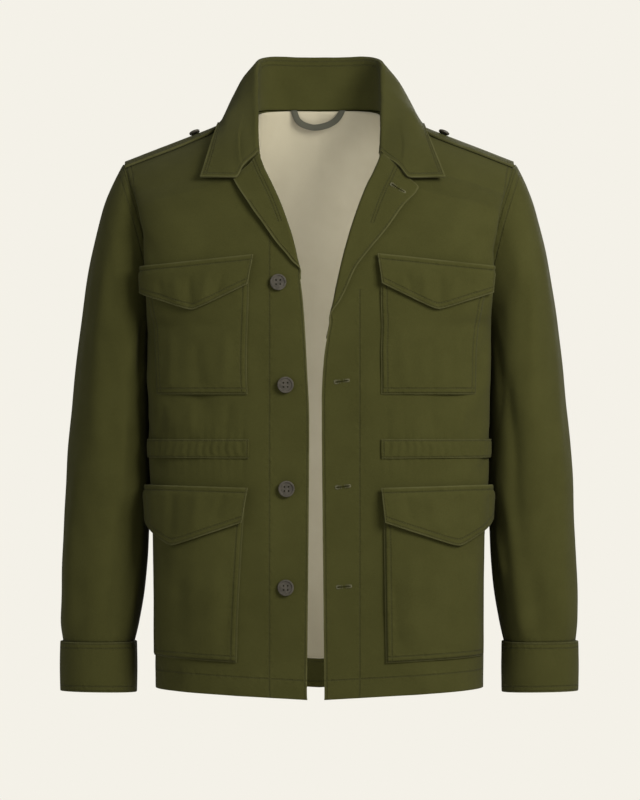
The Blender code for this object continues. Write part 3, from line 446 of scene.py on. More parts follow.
# Creases listed in the cloth's own measures. On a front, a is the distance from the edge and b
# the height; on the back a is the distance from the middle; on a sleeve a is round it, in degrees
# from the outer edge over the front, and b along it. A positive depth is a ridge.
CREASES = {
    "front_right": (
        (225, -290, 120, -400, 13, -1.5, 14),
        (232, -330, 150, -420, 15, 1.3, -8),
        (240, -400, 190, -470, 12, -1.2, 6),
        (60, -300, 52, -420, 16, -0.8, 4),
        (215, -80, 178, -190, 12, -1.0, 8),
        (150, -70, 120, -190, 22, 0.9, -8),
        (62, -470, 50, -640, 18, 0.9, 6),
        (258, -470, 262, -700, 12, -1.6, 5),
        (100, -375, 108, -420, 7, -0.7, 2),
        (150, -378, 146, -420, 8, 0.7, -2),
        (190, -380, 197, -420, 7, -0.8, 2),
        (60, -715, 95, -748, 14, 0.7, 2),
        (170, -715, 178, -748, 12, -0.7, 2),
    ),
    "front_left": (
        (222, -292, 130, -390, 14, -1.4, -12),
        (236, -345, 160, -425, 13, 1.2, 8),
        (243, -410, 200, -480, 12, -1.3, -6),
        (58, -320, 50, -410, 15, 0.7, -4),
        (218, -84, 184, -180, 13, -0.9, -7),
        (140, -76, 118, -188, 20, 0.8, 9),
        (60, -500, 54, -690, 17, -0.8, -6),
        (256, -480, 260, -690, 12, -1.5, -5),
        (96, -376, 90, -420, 8, 0.7, 2),
        (136, -378, 141, -421, 7, -0.7, -2),
        (182, -378, 176, -420, 8, 0.8, 2),
        (110, -716, 120, -748, 13, 0.7, -2),
    ),
    "back": (
        (-190, -290, -90, -430, 20, -2.2, 20),
        (186, -285, 80, -450, 22, -2.0, -24),
        (-210, -330, -130, -470, 17, 1.8, -14),
        (205, -340, 140, -480, 16, 1.8, 14),
        (-60, -60, -150, -180, 22, -1.6, 14),
        (55, -66, 140, -190, 20, -1.5, -12),
        (-24, -380, -40, -560, 26, 1.6, 12),
        (38, -420, 30, -620, 24, -1.7, -12),
        (-130, -470, -110, -690, 20, -1.4, 10),
        (140, -500, 120, -720, 20, 1.3, -10),
        (-200, -520, -190, -720, 16, 1.2, 6),
        (0, -150, 6, -300, 30, 1.0, 8),
    ),
    "lining": (
        (-40, -60, -52, -330, 16, 1.3, 8),
        (30, -40, 22, -260, 14, 1.1, -6),
        (5, -180, -6, -420, 12, 1.2, 6),
        (-16, -380, 4, -560, 10, 1.0, 5),
        (60, -80, 40, -360, 18, 1.2, 7),
        (8, -520, -6, -690, 9, 1.0, -4),
        (-90, -60, -70, -300, 15, 1.0, -8),
        (10, -60, 40, -130, 16, 1.1, 10),
    ),
    "sleeve_right": (
        (120, 150, 105, 420, 12, -2.0, 8),
        (62, 60, 86, 330, 16, 1.4, -10),
        (150, 240, 135, 520, 10, 1.7, 6),
        (100, 380, 92, 610, 14, -1.5, 6),
        (50, 300, 40, 560, 18, 1.3, -6),
        (132, 40, 128, 190, 9, -2.2, 5),
        (160, 90, 118, 210, 9, 1.7, -8),
        (20, 60, 12, 300, 18, -1.0, 6),
        (250, 150, 235, 430, 16, -2.0, 10),
        (300, 90, 282, 380, 18, 1.5, -8),
        (215, 230, 228, 560, 12, 1.7, 6),
        (262, 420, 256, 610, 14, -1.4, 5),
        (200, 60, 236, 190, 10, -1.8, 8),
    ),
    "sleeve_left": (
        (124, 120, 110, 390, 12, -2.1, -8),
        (66, 80, 82, 300, 17, 1.3, 9),
        (146, 250, 150, 470, 9, -2.2, 12),
        (128, 300, 118, 540, 12, 1.7, -8),
        (96, 400, 100, 615, 14, -1.4, -6),
        (44, 260, 52, 560, 18, 1.2, 6),
        (140, 50, 131, 200, 9, -2.0, -5),
        (162, 330, 140, 430, 8, 1.8, -6),
        (18, 70, 26, 310, 18, -1.0, -6),
        (246, 170, 232, 450, 16, -1.9, -10),
        (298, 80, 286, 360, 18, 1.4, 8),
        (218, 210, 224, 540, 12, 1.6, -6),
        (258, 430, 262, 612, 14, -1.3, -5),
    ),
    "chest_pocket": (
        (100, -290, 108, -366, 8, 0.7, 3),
        (136, -300, 132, -366, 9, -0.8, -3),
        (172, -292, 180, -366, 8, 0.7, 3),
    ),
    "hip_pocket": (
        (110, -575, 116, -700, 14, 1.0, 5),
        (156, -590, 150, -706, 15, -1.2, -5),
        (198, -575, 203, -704, 13, 1.0, 4),
        (84, -600, 96, -706, 9, -0.8, 3),
        (228, -600, 220, -706, 9, -0.8, -3),
    ),
    "chest_flap": (
        (104, -206, 110, -238, 5, -0.7, 1),
        (122, -206, 126, -250, 6, 0.8, 1),
        (140, -206, 138, -258, 5, -0.9, -1),
        (156, -206, 152, -248, 6, 0.7, -1),
        (174, -206, 170, -240, 5, -0.6, -1),
    ),
    "hip_flap": (
        (104, -492, 110, -536, 7, -0.7, 2),
        (134, -492, 140, -548, 8, 0.8, 2),
        (166, -492, 164, -560, 7, -0.8, -1),
        (196, -492, 190, -548, 8, 0.7, -2),
        (214, -492, 209, -536, 6, -0.7, -1),
    ),
}


FOLD_SCALE = 2.1  # how much deeper than their table the creases are made


def creased(name, a, b, scale=1.0):
    """How far the creases of a table move the cloth out at these places."""
    total = np.zeros(np.broadcast(a, b).shape)
    for row in CREASES[name]:
        line = dict(zip(CREASE_COLUMNS, row))
        da, db = (line["a1"] - line["a0"]) * scale, line["b1"] - line["b0"]
        length = math.hypot(da, db)
        pa, pb = (a - line["a0"]) * scale, b - line["b0"]
        along = (pa * da + pb * db) / length**2
        bend = line["bend"] * (1 - (2 * along - 1) ** 2)
        off = (pa * db - pb * da) / length - bend
        width = line["width"] * (0.75 + 0.5 * np.clip(along, 0, 1))
        fade = smooth_step((along + 0.12) / 0.4) * smooth_step((1.12 - along) / 0.4)
        total += line["depth"] * np.exp(-((off / width) ** 2)) * fade
    return total


def unevenness(a, b, seed, size):
    """Smooth unevenness from a few long waves, between about -1 and 1."""
    total = 0.0
    for i in range(5):
        turn = 0.7 + 1.9 * i + seed * 1.3
        scale = size / (1 + 0.37 * i)
        phase = 2.1 * i * seed + seed
        wave = np.sin(TURN * (a * math.cos(turn) + b * math.sin(turn)) / scale + phase)
        total = total + wave / (1.6 + i)
    return total / 1.5


SIDES = ((-1, "right"), (1, "left"))  # the wearer's
# The gentle unevenness of each piece, its depth and size in millimetres.
WAVE_COLUMNS = ("depth", "size", "seed")
WAVES = {
    "front": (0.7, 120.0, 1.0),
    "lapel": (0.35, 46.0, 3.0),
    "back": (1.1, 150.0, 4.0),
    "lining": (0.9, 70.0, 9.0),
    "sleeve": (1.0, 130.0, 5.0),
    "collar": (0.45, 60.0, 7.0),
    "chest_pocket": (0.5, 60.0, 5.0),
    "hip_pocket": (0.5, 60.0, 5.7),
    "flap": (0.35, 44.0, 6.0),
}


def waves(name, a, b, side=0.0):
    """A table row's unevenness, different on each side."""
    wave = dict(zip(WAVE_COLUMNS, WAVES[name]))
    return wave["depth"] * unevenness(a, b, wave["seed"] + side, wave["size"])


# The ripples along stitched seams. They reach this far from the seam, and all but the seed are
# in millimetres.
PUCKER_COLUMNS = ("depth", "reach", "pitch", "seed")
PUCKERS = {
    "front_side_seam": (0.3, 7.0, 10.0, 0.0),
    "placket": (0.18, 6.0, 9.0, 2.0),
    "front_hem": (0.2, 7.0, 11.0, 4.0),
    "back_side_seam": (0.3, 7.0, 10.0, 6.0),
    "back_hem": (0.2, 7.0, 11.0, 7.0),
    "hem_facing": (0.25, 14.0, 13.0, 2.0),
    "sleeve_head": (0.5, 16.0, 13.0, 0.0),
    "sleeve_end": (0.35, 26.0, 15.0, 3.0),
    "cuff": (0.35, 12.0, 14.0, 0.0),
    "collar": (0.16, 6.0, 8.0, 2.0),
    "pocket": (0.16, 6.0, 8.5, 1.0),
}


def puckers(name, along, away, side=0.0):
    """A table row's small ripples across a stitched seam, which fade away from it."""
    row = dict(zip(PUCKER_COLUMNS, PUCKERS[name]))
    seed = row["seed"] + side
    wave = np.sin(TURN * along / row["pitch"] + 1.4 * np.sin(along / 23.0 + seed))
    strength = 0.6 + 0.4 * np.sin(along / 41.0 + 2 * seed)
    return row["depth"] * wave * strength * np.exp(-np.abs(away) / row["reach"])


# ---------------------------------------------------------------- pieces of cloth
EDGE_ROUNDING = 0.3  # share of its thickness by which a cloth's edge is rounded


def to_frame(points):
    """Body millimetres to the frame's metres, with the body's hem drawn in a little all round."""
    points = np.array(points, float)
    low = np.clip((HEM + HEM_CURL_RISE - points[..., 2]) / HEM_CURL_RISE, 0.0, 0.985)
    of_body = np.abs(points[..., 0]) < HEM_CURL_WITHIN
    points[..., 0] *= 1 - HEM_CURL * (1 - np.sqrt(1 - low**2)) * of_body
    return (points - (0.0, BACK_NECK_DEPTH, 0.0)) * MM


def sheet_of(name, points, faces, maps, material, thickness, stands_for):
    """One shown piece of cloth: a mesh with its maps, given its thickness."""
    mesh = bpy.data.meshes.new(name)
    mesh.from_pydata([tuple(p) for p in to_frame(points)], [], faces.tolist())
    for map_name, corners in maps.items():
        layer = mesh.uv_layers.new(name=map_name)
        layer.data.foreach_set("uv", np.asarray(corners, np.float32).reshape(-1))
    mesh.materials.append(MATERIALS[material])
    mesh.shade_smooth()
    piece = bpy.data.objects.new(name, mesh)
    bpy.context.scene.collection.objects.link(piece)
    wall = piece.modifiers.new("thickness", "SOLIDIFY")
    wall.thickness = thickness * MM
    wall.offset = 0.0
    wall.use_even_offset = True
    wall.use_quality_normals = True
    edge = piece.modifiers.new("edges", "BEVEL")
    edge.width = thickness * EDGE_ROUNDING * MM
    edge.segments = 2
    edge.limit_method = "ANGLE"
    edge.angle_limit = math.radians(60)
    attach(piece, "root")
    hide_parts(*stands_for)


def quads(index):
    """Each quad of a grid's numbers, corner by corner."""
    corners = (index[:-1, :-1], index[:-1, 1:], index[1:, 1:], index[1:, :-1])
    return np.stack(corners, axis=-1).reshape(-1, 4)


def grid_faces(rows, lines, round_tube=False):
    """Corner numbers of each quad of a grid, and the same with the closing line counted apart."""
    wide = lines + 1 if round_tube else lines
    row, line = np.meshgrid(np.arange(rows), np.arange(wide), indexing="ij")
    return quads(row * lines + line % lines), quads(row * wide + line)


def cloth(node, grid, near, far, material, thickness, stands_for=None, round_tube=False):
    """A node's cloth on a grid of points. near and far are its two maps, in millimetres from
    its first and its last edges."""
    vertex, corner = grid_faces(*grid.shape[:2], round_tube)
    maps = {"near": near.reshape(-1, 2)[corner.ravel()], "far": far.reshape(-1, 2)[corner.ravel()]}
    points = grid.reshape(-1, 3)
    sheet_of(node + "_cloth", points, vertex, maps, material, thickness, stands_for or (node,))


def pair(a, b):
    return np.stack(np.broadcast_arrays(a, b), axis=-1).astype(float)


def surface_tree(grids):
    points = []
    faces = []
    for grid in grids:
        start = len(points)
        points.extend(Vector(p) for p in grid.reshape(-1, 3))
        vertex, _ = grid_faces(*grid.shape[:2])
        faces.extend((vertex + start).tolist())
    return BVHTree.FromPolygons(points, faces)


EDGE_REACH = 12.0  # a place further beyond a panel's edge than this needn't clear it


def kept_clear(grid, tree, clearance):
    """The grid with each point that is nearer than the clearance moved straight off the surface."""
    cleared = grid.copy()
    for index in np.ndindex(grid.shape[:2]):
        point = Vector(grid[index])
        nearest, normal, _, _ = tree.find_nearest(point)
        inside = Vector((INSIDE[0] * nearest.x, INSIDE[1], INSIDE[2]))
        if (nearest - inside).dot(normal) < 0:
            normal = -normal
        height = (point - nearest).dot(normal)
        aside = (point - nearest - normal * height).length
        if height < clearance:
            push = (clearance - height) * float(smooth_step(1 - aside / EDGE_REACH))
            cleared[index] = np.array(point + normal * push)
    return cleared


# ---------------------------------------------------------------- materials
class Shading:
    """A material's node tree, written as sums."""

    def __init__(self, name):
        self.material = bpy.data.materials.new(name)
        self.material.use_nodes = True
        self.tree = self.material.node_tree
        self.shader = self.tree.nodes["Principled BSDF"]
        self.maps = {}

    def node(self, kind, inputs=(), **properties):
        made = self.tree.nodes.new(kind)
        for name, value in properties.items():
            setattr(made, name, value)
        for place, value in dict(inputs).items():
            self.feed(made.inputs[place], value)
        return made

    def feed(self, socket, value):
        if isinstance(value, bpy.types.NodeSocket):
            self.tree.links.new(value, socket)
        else:
            socket.default_value = value

    def math(self, operation, *values):
        return self.node("ShaderNodeMath", enumerate(values), operation=operation).outputs[0]

    def times(self, first, second):
        return self.math("MULTIPLY", first, second)

    def total(self, values):
        result = values[0]
        for value in values[1:]:
            result = self.math("ADD", result, value)
        return result

    def highest(self, values):
        result = values[0]
        for value in values[1:]:
            result = self.math("MAXIMUM", result, value)
        return result

    def ramp(self, value, low, high, at_low=0.0, at_high=1.0):
        made = self.node("ShaderNodeMapRange", interpolation_type="SMOOTHSTEP")
        for place, number in enumerate((value, low, high, at_low, at_high)):
            self.feed(made.inputs[place], number)
        return made.outputs[0]

    def coordinate(self, map_name, axis):
        """One number of a map, in millimetres."""
        if map_name not in self.maps:
            read = self.node("ShaderNodeUVMap", uv_map=map_name)
            apart = self.node("ShaderNodeSeparateXYZ", {0: read.outputs[0]})
            self.maps[map_name] = (read, apart)
        return self.maps[map_name][1].outputs[axis]

    def object_place(self):
        return self.node("ShaderNodeTexCoord").outputs["Object"]

    def place(self, map_name, x_scale=1.0, y_scale=1.0):
        """A map's two numbers as a vector, stretched."""
        self.coordinate(map_name, 0)
        stretch = {0: self.maps[map_name][0].outputs[0], 1: (x_scale, y_scale, 1.0)}
        return self.node("ShaderNodeVectorMath", stretch, operation="MULTIPLY").outputs[0]

    def noise(self, vector, scale, detail=2.0, roughness=0.5):
        look = {"Vector": vector, "Scale": scale, "Detail": detail, "Roughness": roughness}
        return self.node("ShaderNodeTexNoise", look).outputs[0]

    def mix(self, factor, first, second):
        made = self.node("ShaderNodeMix", data_type="RGBA")
        for place, value in ((0, factor), (6, first), (7, second)):
            self.feed(made.inputs[place], value)
        return made.outputs[2]

    def bump(self, height):
        """A bump from a height in millimetres."""
        made = self.node("ShaderNodeBump", {"Strength": 1.0, "Distance": MM, "Height": height})
        self.feed(self.shader.inputs["Normal"], made.outputs[0])


STITCH_PITCH = 3.2
GROOVE_REACH = 1.5
GROOVE_DEPTH = 0.55
THREAD_REACH = 0.42
PUCKER_REACH = 9.0
STITCH_COLUMNS = ("map_name", "axis", "at", "limits")


def stitching(s, lines):
    """(groove, thread, wide) of topstitched lines. Each runs where a map's number has a value,
    within its limits on other numbers: (map, axis, from, to)."""
    grooves, threads, wides = [], [], []
    for row in lines:
        line = dict(zip(STITCH_COLUMNS, row))
        across = s.coordinate(line["map_name"], line["axis"])
        along = s.coordinate("near", 1 - line["axis"])
        away = s.math("ABSOLUTE", s.math("SUBTRACT", across, line["at"]))
        shown = 1.0
        for map_name, axis, low, high in line["limits"]:
            number = s.coordinate(map_name, axis)
            above, below = s.math("GREATER_THAN", number, low), s.math("LESS_THAN", number, high)
            inside = s.times(above, below)
            shown = inside if shown == 1.0 else s.times(shown, inside)
        dash = s.ramp(s.math("SINE", s.times(along, TURN / STITCH_PITCH)), -0.75, -0.25)
        groove = s.ramp(away, 0.0, GROOVE_REACH, 1.0, 0.0)
        thread = s.times(s.ramp(away, THREAD_REACH * 0.4, THREAD_REACH, 1.0, 0.0), dash)
        wide = s.ramp(away, 0.0, PUCKER_REACH, 1.0, 0.0)
        grooves.append(s.times(groove, shown))
        threads.append(s.times(thread, shown))
        wides.append(s.times(wide, shown))
    return s.highest(grooves), s.highest(threads), s.highest(wides)


OLIVE_LIGHT = (0.0520, 0.0508, 0.0125, 1.0)
OLIVE_DARK = (0.0335, 0.0328, 0.0075, 1.0)
# Paler edge colour: partly rubbed wear, partly a painted highlight along fold and lapel edges.
OLIVE_WORN_AND_HIGHLIGHT = (0.092, 0.089, 0.036, 1.0)
# Near-black olive for painted shade: in stitched grooves and in a button's holes.
OLIVE_PAINTED_SHADE = (0.012, 0.0118, 0.003, 1.0)
OLIVE_THREAD = (0.062, 0.060, 0.020, 1.0)
BEIGE = (0.375, 0.338, 0.240, 1.0)
BEIGE_DARK = (0.335, 0.301, 0.211, 1.0)
BEIGE_THREAD = (0.66, 0.60, 0.44, 1.0)
TAPE = (0.040, 0.040, 0.026, 1.0)
TAPE_LIGHT = (0.075, 0.074, 0.050, 1.0)
BUTTON = (0.043, 0.0385, 0.0300, 1.0)
BUTTON_LIGHT = (0.072, 0.064, 0.050, 1.0)
HOLE_THREAD = (0.150, 0.144, 0.098, 1.0)
# Near-black painted shade for a buttonhole's slit and a button's holes.
HOLE_PAINTED_SHADE = (0.006, 0.006, 0.003, 1.0)

RIB_PITCH = 0.85  # twill's ribs, and the yarns across them
YARN_PITCH = 0.5
WARP_PITCH, WEFT_PITCH = 0.55, 0.6  # the lining's plain weave
HERRINGBONE_PITCH = 1.1
WORN_AND_HIGHLIGHT_SHARE = (0.22, 0.62)  # how pale the edges are, from rubbed wear and painted highlight, at the least and at the most
GROOVE_PAINTED_SHADE = 0.46  # how far painted shade darkens a stitched line's groove


def twill(name, lines=(), rubbed_and_highlit_edges=()):
    """Cotton twill: diagonal ribs, uneven dye, and stitched lines with their grooves, darkened by painted
    shade, and puckers.
    The edges it lists are made paler, partly rubbed wear and partly painted highlight along the fold: (map,
    axis, reach)."""
    s = Shading(name)
    x, y = s.coordinate("near", 0), s.coordinate("near", 1)
    slant = s.math("ADD", s.times(x, 0.86), s.times(y, 0.5))
    rib = s.math("SINE", s.times(slant, TURN / RIB_PITCH))
    yarn = s.math("SINE", s.times(y, TURN / YARN_PITCH))
    place = s.object_place()
    mottle = s.noise(place, 26.0, 4.0, 0.6)
    slub = s.noise(s.place("near", 0.25, 1.6), 1.0, 2.0, 0.6)
    patch = s.noise(place, 6.0, 2.0, 0.5)
    grain = s.noise(place, 800.0, 2.0, 0.7)
    height = s.total([s.times(rib, 0.045), s.times(yarn, 0.02), s.times(slub, 0.10)])
    tone = s.total(
        [
            s.times(s.ramp(mottle, 0.3, 0.7), 0.22),
            s.times(s.ramp(patch, 0.3, 0.7), 0.16),
            s.times(s.math("ADD", rib, 1.0), 0.16),
            s.times(slub, 0.22),
            s.times(s.ramp(grain, 0.3, 0.7), 0.34),
            -0.13,
        ]
    )
    colour = s.mix(tone, OLIVE_DARK, OLIVE_LIGHT)
    # Edges made paler: partly rubbed wear, partly a painted highlight.
    for map_name, axis, reach in rubbed_and_highlit_edges:
        near_edge = s.ramp(s.coordinate(map_name, axis), 0.0, reach, 1.0, 0.0)
        edge = s.times(near_edge, s.ramp(mottle, 0.25, 0.65, *WORN_AND_HIGHLIGHT_SHARE))
        colour = s.mix(edge, colour, OLIVE_WORN_AND_HIGHLIGHT)
    if lines:
        groove, thread, wide = stitching(s, lines)
        pucker = s.noise(s.place("near", 0.16, 0.16), 1.0, 2.0, 0.4)
        ripple = s.times(s.times(s.math("SUBTRACT", pucker, 0.5), wide), 1.5)
        height = s.total([height, s.times(groove, -GROOVE_DEPTH), s.times(thread, 0.28), ripple])
        # Painted shade: each stitched groove is darkened towards near-black olive.
        colour = s.mix(s.times(groove, GROOVE_PAINTED_SHADE), colour, OLIVE_PAINTED_SHADE)
        colour = s.mix(s.times(thread, 0.7), colour, OLIVE_THREAD)
    s.feed(s.shader.inputs["Base Color"], colour)
    s.feed(s.shader.inputs["Roughness"], s.ramp(tone, 0.0, 1.0, 0.95, 0.82))
    s.shader.inputs["Sheen Weight"].default_value = 0.02
    s.shader.inputs["Sheen Roughness"].default_value = 0.5
    s.shader.inputs["Specular IOR Level"].default_value = 0.1
    s.bump(height)
    return s.material


def lining_cloth(name, lines=()):
    """Smooth cotton lining, faintly blotched."""
    s = Shading(name)
    x, y = s.coordinate("near", 0), s.coordinate("near", 1)
    place = s.object_place()
    mottle = s.noise(place, 14.0, 3.0, 0.6)
    warp = s.math("SINE", s.times(x, TURN / WARP_PITCH))
    weft = s.math("SINE", s.times(y, TURN / WEFT_PITCH))
    slub = s.noise(s.place("near", 1.2, 0.12), 1.0, 2.0, 0.6)
    tone = s.total([s.times(s.ramp(mottle, 0.25, 0.75), 0.5), s.times(slub, 0.3)])
    colour = s.mix(tone, BEIGE_DARK, BEIGE)
    height = s.total([s.times(s.times(warp, weft), 0.02), s.times(slub, 0.05)])
    if lines:
        groove, thread, _ = stitching(s, lines)
        height = s.total([height, s.times(groove, -0.4), s.times(thread, 0.2)])
        colour = s.mix(s.times(thread, 0.6), colour, BEIGE_THREAD)
    s.feed(s.shader.inputs["Base Color"], colour)
    s.feed(s.shader.inputs["Roughness"], s.ramp(tone, 0.0, 1.0, 0.8, 0.66))
    s.shader.inputs["Sheen Weight"].default_value = 0.1
    s.bump(height)
    return s.material


def tape_cloth(name):
    """Herringbone tape: ribs that slant both ways from its middle."""
    s = Shading(name)
    x, y = s.coordinate("near", 0), s.coordinate("near", 1)
    slant = s.math("ADD", s.math("ABSOLUTE", s.math("SUBTRACT", x, LOOP_WIDTH / 2)), y)
    rib = s.math("SINE", s.times(slant, TURN / HERRINGBONE_PITCH))
    fuzz = s.noise(s.object_place(), 300.0, 3.0, 0.6)
    tone = s.math("ADD", s.times(s.math("ADD", rib, 1.0), 0.25), s.times(fuzz, 0.4))
    s.feed(s.shader.inputs["Base Color"], s.mix(tone, TAPE, TAPE_LIGHT))
    s.feed(s.shader.inputs["Roughness"], s.ramp(fuzz, 0.2, 0.8, 0.75, 0.9))
    s.bump(s.times(rib, 0.12))
    return s.material


def button_material(name):
    """Moulded plastic in two close browns, satin, with fine turning marks."""
    s = Shading(name)
    place = s.object_place()
    swirl = s.noise(place, 130.0, 5.0, 0.7)
    fine = s.noise(place, 1400.0, 2.0, 0.5)
    s.feed(s.shader.inputs["Base Color"], s.mix(s.ramp(swirl, 0.35, 0.7), BUTTON, BUTTON_LIGHT))
    s.feed(s.shader.inputs["Roughness"], s.ramp(fine, 0.2, 0.8, 0.32, 0.5))
    s.shader.inputs["Specular IOR Level"].default_value = 0.22
    s.bump(s.times(fine, 0.05))
    return s.material


def thread_material(name, colour, light):
    """Twisted thread."""
    s = Shading(name)
    place = s.object_place()
    twist = s.noise(place, 1500.0, 2.0, 0.5)
    s.feed(s.shader.inputs["Base Color"], s.mix(twist, colour, light))
    s.feed(s.shader.inputs["Roughness"], s.ramp(twist, 0.2, 0.8, 0.6, 0.85))
    s.shader.inputs["Specular IOR Level"].default_value = 0.04
    s.bump(s.times(twist, 0.15))
    return s.material


# ---------------------------------------------------------------- fronts with their lapels
SEAM_ALLOWANCE = 5.0  # from a seam to the middle of its puckers
PLACKET_LINE = 47.0
HEM_STITCH = 24.0  # topstitching above the hem
HEM_LINE = HEM + HEM_STITCH
GATHER_REACH = 16.0  # how far the waist channel's gathers go into the front
FRONT_GATHER = 0.45
GATHER_PITCH = 10.5
LAPEL_TAPER = 8.0  # a lapel narrower than this has a tighter fold
LAPEL_CROWDING = 1.35  # crowds the lapel's lines towards its fold
LAPEL_NARROWEST = 0.6
FRONT_FLATS = {}  # each front's points, for what lies on them
LAPEL_FLATS = {}  # each lapel's points and normals


def gathers(distance):
    """The waist channel's gathers, along a front: uneven ridges, stronger towards its opening."""
    wave = np.sin(TURN * distance / GATHER_PITCH + 1.1 * np.sin(distance / 19.0))
    wave = wave + 0.5 * np.sin(TURN * distance / 23.0 + 1.0)
    return wave * (0.35 + 0.65 * smooth_step((200.0 - distance) / 110.0))


def front_folds(side, distance, height, span):
    name = "front_right" if side < 0 else "front_left"
    out = FOLD_SCALE * creased(name, distance, height)
    out += waves("front", distance, height, side) * smooth_step(distance / 40.0)
    above = np.maximum(height - CHANNEL_TOP, 0.0)
    below = np.maximum(CHANNEL_BOTTOM - height, 0.0)
    near_channel = np.exp(-(above + below) / GATHER_REACH) * smooth_step((distance - 66.0) / 12.0)
    out += FRONT_GATHER * gathers(distance) * near_channel
    out += puckers("front_side_seam", height, span - distance - SEAM_ALLOWANCE, side)
    out += puckers("placket", height, distance - PLACKET_LINE, side)
    out += puckers("front_hem", distance, height - HEM_LINE, side)
    return out


def fold_back(beyond, radius):
    """(distance back over the cloth, lift) of cloth this far beyond a fold that turns it over."""
    half_turn = math.pi * radius
    angle = np.minimum(beyond, half_turn) / radius
    rest = np.maximum(beyond - half_turn, 0.0)
    return -radius * np.sin(angle) + rest, radius * (1 - np.cos(angle))


def lapel_grid(side, heights, sections, width, set_in):
    """(points, normals, distances beyond the fold) of the lapel turned over on a front's rows."""
    reach = np.linspace(1.0, 0.0, LAPEL_LINES + 1)[:-1] ** LAPEL_CROWDING
    wide = np.maximum(width, LAPEL_NARROWEST)
    round_fold = math.pi * LAPEL_RADIUS * np.minimum(wide / LAPEL_TAPER, 1.0)
    beyond = (wide + round_fold - set_in)[:, None] * reach[None]
    over, lift = fold_back(beyond, LAPEL_RADIUS)
    over = over + set_in[:, None]
    under_collar = smooth_step((heights + 118.0) / 24.0)
    spring = (LAPEL_SPRING[1] + (LAPEL_SPRING[0] - LAPEL_SPRING[1]) * under_collar)[:, None]
    full = np.clip(wide / 18.0, 0.0, 1.0)[:, None]
    lift = lift + spring * full * np.clip((beyond - 8.0) / 40.0, 0.0, 1.0) ** 1.5
    level = np.broadcast_to(heights[:, None], beyond.shape)
    lift += full * waves("lapel", beyond, level, side) * np.clip(beyond / 20.0, 0, 1)
    base = np.array([by_length(line, row) for line, row in zip(sections, over)])
    across = np.array([by_length(line, row + 1.0) for line, row in zip(sections, over)]) - base
    normal = np.cross(across, np.gradient(base, axis=0))
    normal /= np.linalg.norm(normal, axis=-1, keepdims=True)
    normal *= np.sign(-normal[..., 1:2])
    return base + normal * lift[..., None], normal, beyond


def add_front(side, name):
    """A front and its lapel, as one sheet turned over at the roll line."""
    heights = np.concatenate([np.linspace(*run) for run in FRONT_RUNS])
    sections = [front_section(side, height) for height in heights]
    spans = np.array([run_of(line)[-1] for line in sections])[:, None]
    width = np.maximum(EDGES[side]["lapel"](heights), 0.0)
    set_in = LAPEL_RADIUS * np.minimum(width / LAPEL_TAPER, 1.0)
    share = np.linspace(0.0, 1.0, FRONT_LINES)
    distance = set_in[:, None] + (spans - set_in[:, None]) * share[None]
    base = np.array([by_length(line, row) for line, row in zip(sections, distance)])
    normal = facing_out(base)
    level = np.broadcast_to(heights[:, None], distance.shape)
    fade = smooth_step((spans - distance) / 8.0) * smooth_step((-9.0 - level) / 8.0)
    points = base + normal * (front_folds(side, distance, level, spans) * fade)[..., None]

    turned = np.flatnonzero((heights < LAPEL_FROM) & (heights > LAPEL_END[side]))
    rows = slice(turned[0], turned[-1] + 1)
    lapel, lapel_normal, beyond = lapel_grid(side, heights[rows], sections[rows], width[rows], set_in[rows])
    FRONT_FLATS[side] = points
    LAPEL_FLATS[side] = (lapel, lapel_normal)

    free = width.copy()
    free[rows] = beyond[:, 0] - set_in[rows]
    index = np.full((len(heights), LAPEL_LINES + FRONT_LINES), -1)
    near, far, plumb = (np.zeros((*index.shape, 2)) for _ in range(3))
    index[:, LAPEL_LINES:] = np.arange(distance.size).reshape(distance.shape)
    near[:, LAPEL_LINES:] = pair(distance + free[:, None], -level)
    far[:, LAPEL_LINES:] = pair(spans - distance, level - HEM)
    plumb[:, LAPEL_LINES:] = pair(side * base[..., 0], -base[..., 2])
    index[rows, :LAPEL_LINES] = distance.size + np.arange(beyond.size).reshape(beyond.shape)
    near[rows, :LAPEL_LINES] = pair(beyond[:, :1] - beyond, -heights[rows, None])
    far[rows, :LAPEL_LINES] = pair(LAPEL_MAP + beyond, heights[rows, None] - HEM)
    corners = quads(index)
    whole = (corners >= 0).all(axis=1)
    cells = quads(np.arange(index.size).reshape(index.shape))[whole].ravel()
    flats = {"near": near, "far": far, "plumb": plumb}
    maps = {map_name: flat.reshape(-1, 2)[cells] for map_name, flat in flats.items()}
    stands_for = (name, name.replace("front", "lapel_facing"))
    points = np.concatenate([points.reshape(-1, 3), lapel.reshape(-1, 3)])
    sheet_of(name + "_cloth", points, corners[whole], maps, name, SHELL, stands_for)


# ---------------------------------------------------------------- back and lining
HEM_FACING_TOP = HEM + HEM_BAND
BACK_HOLLOW = 0.9  # a crease goes no further than this towards the lining
BACK_MAP = 400.0  # added to places across the back, so that none is below zero


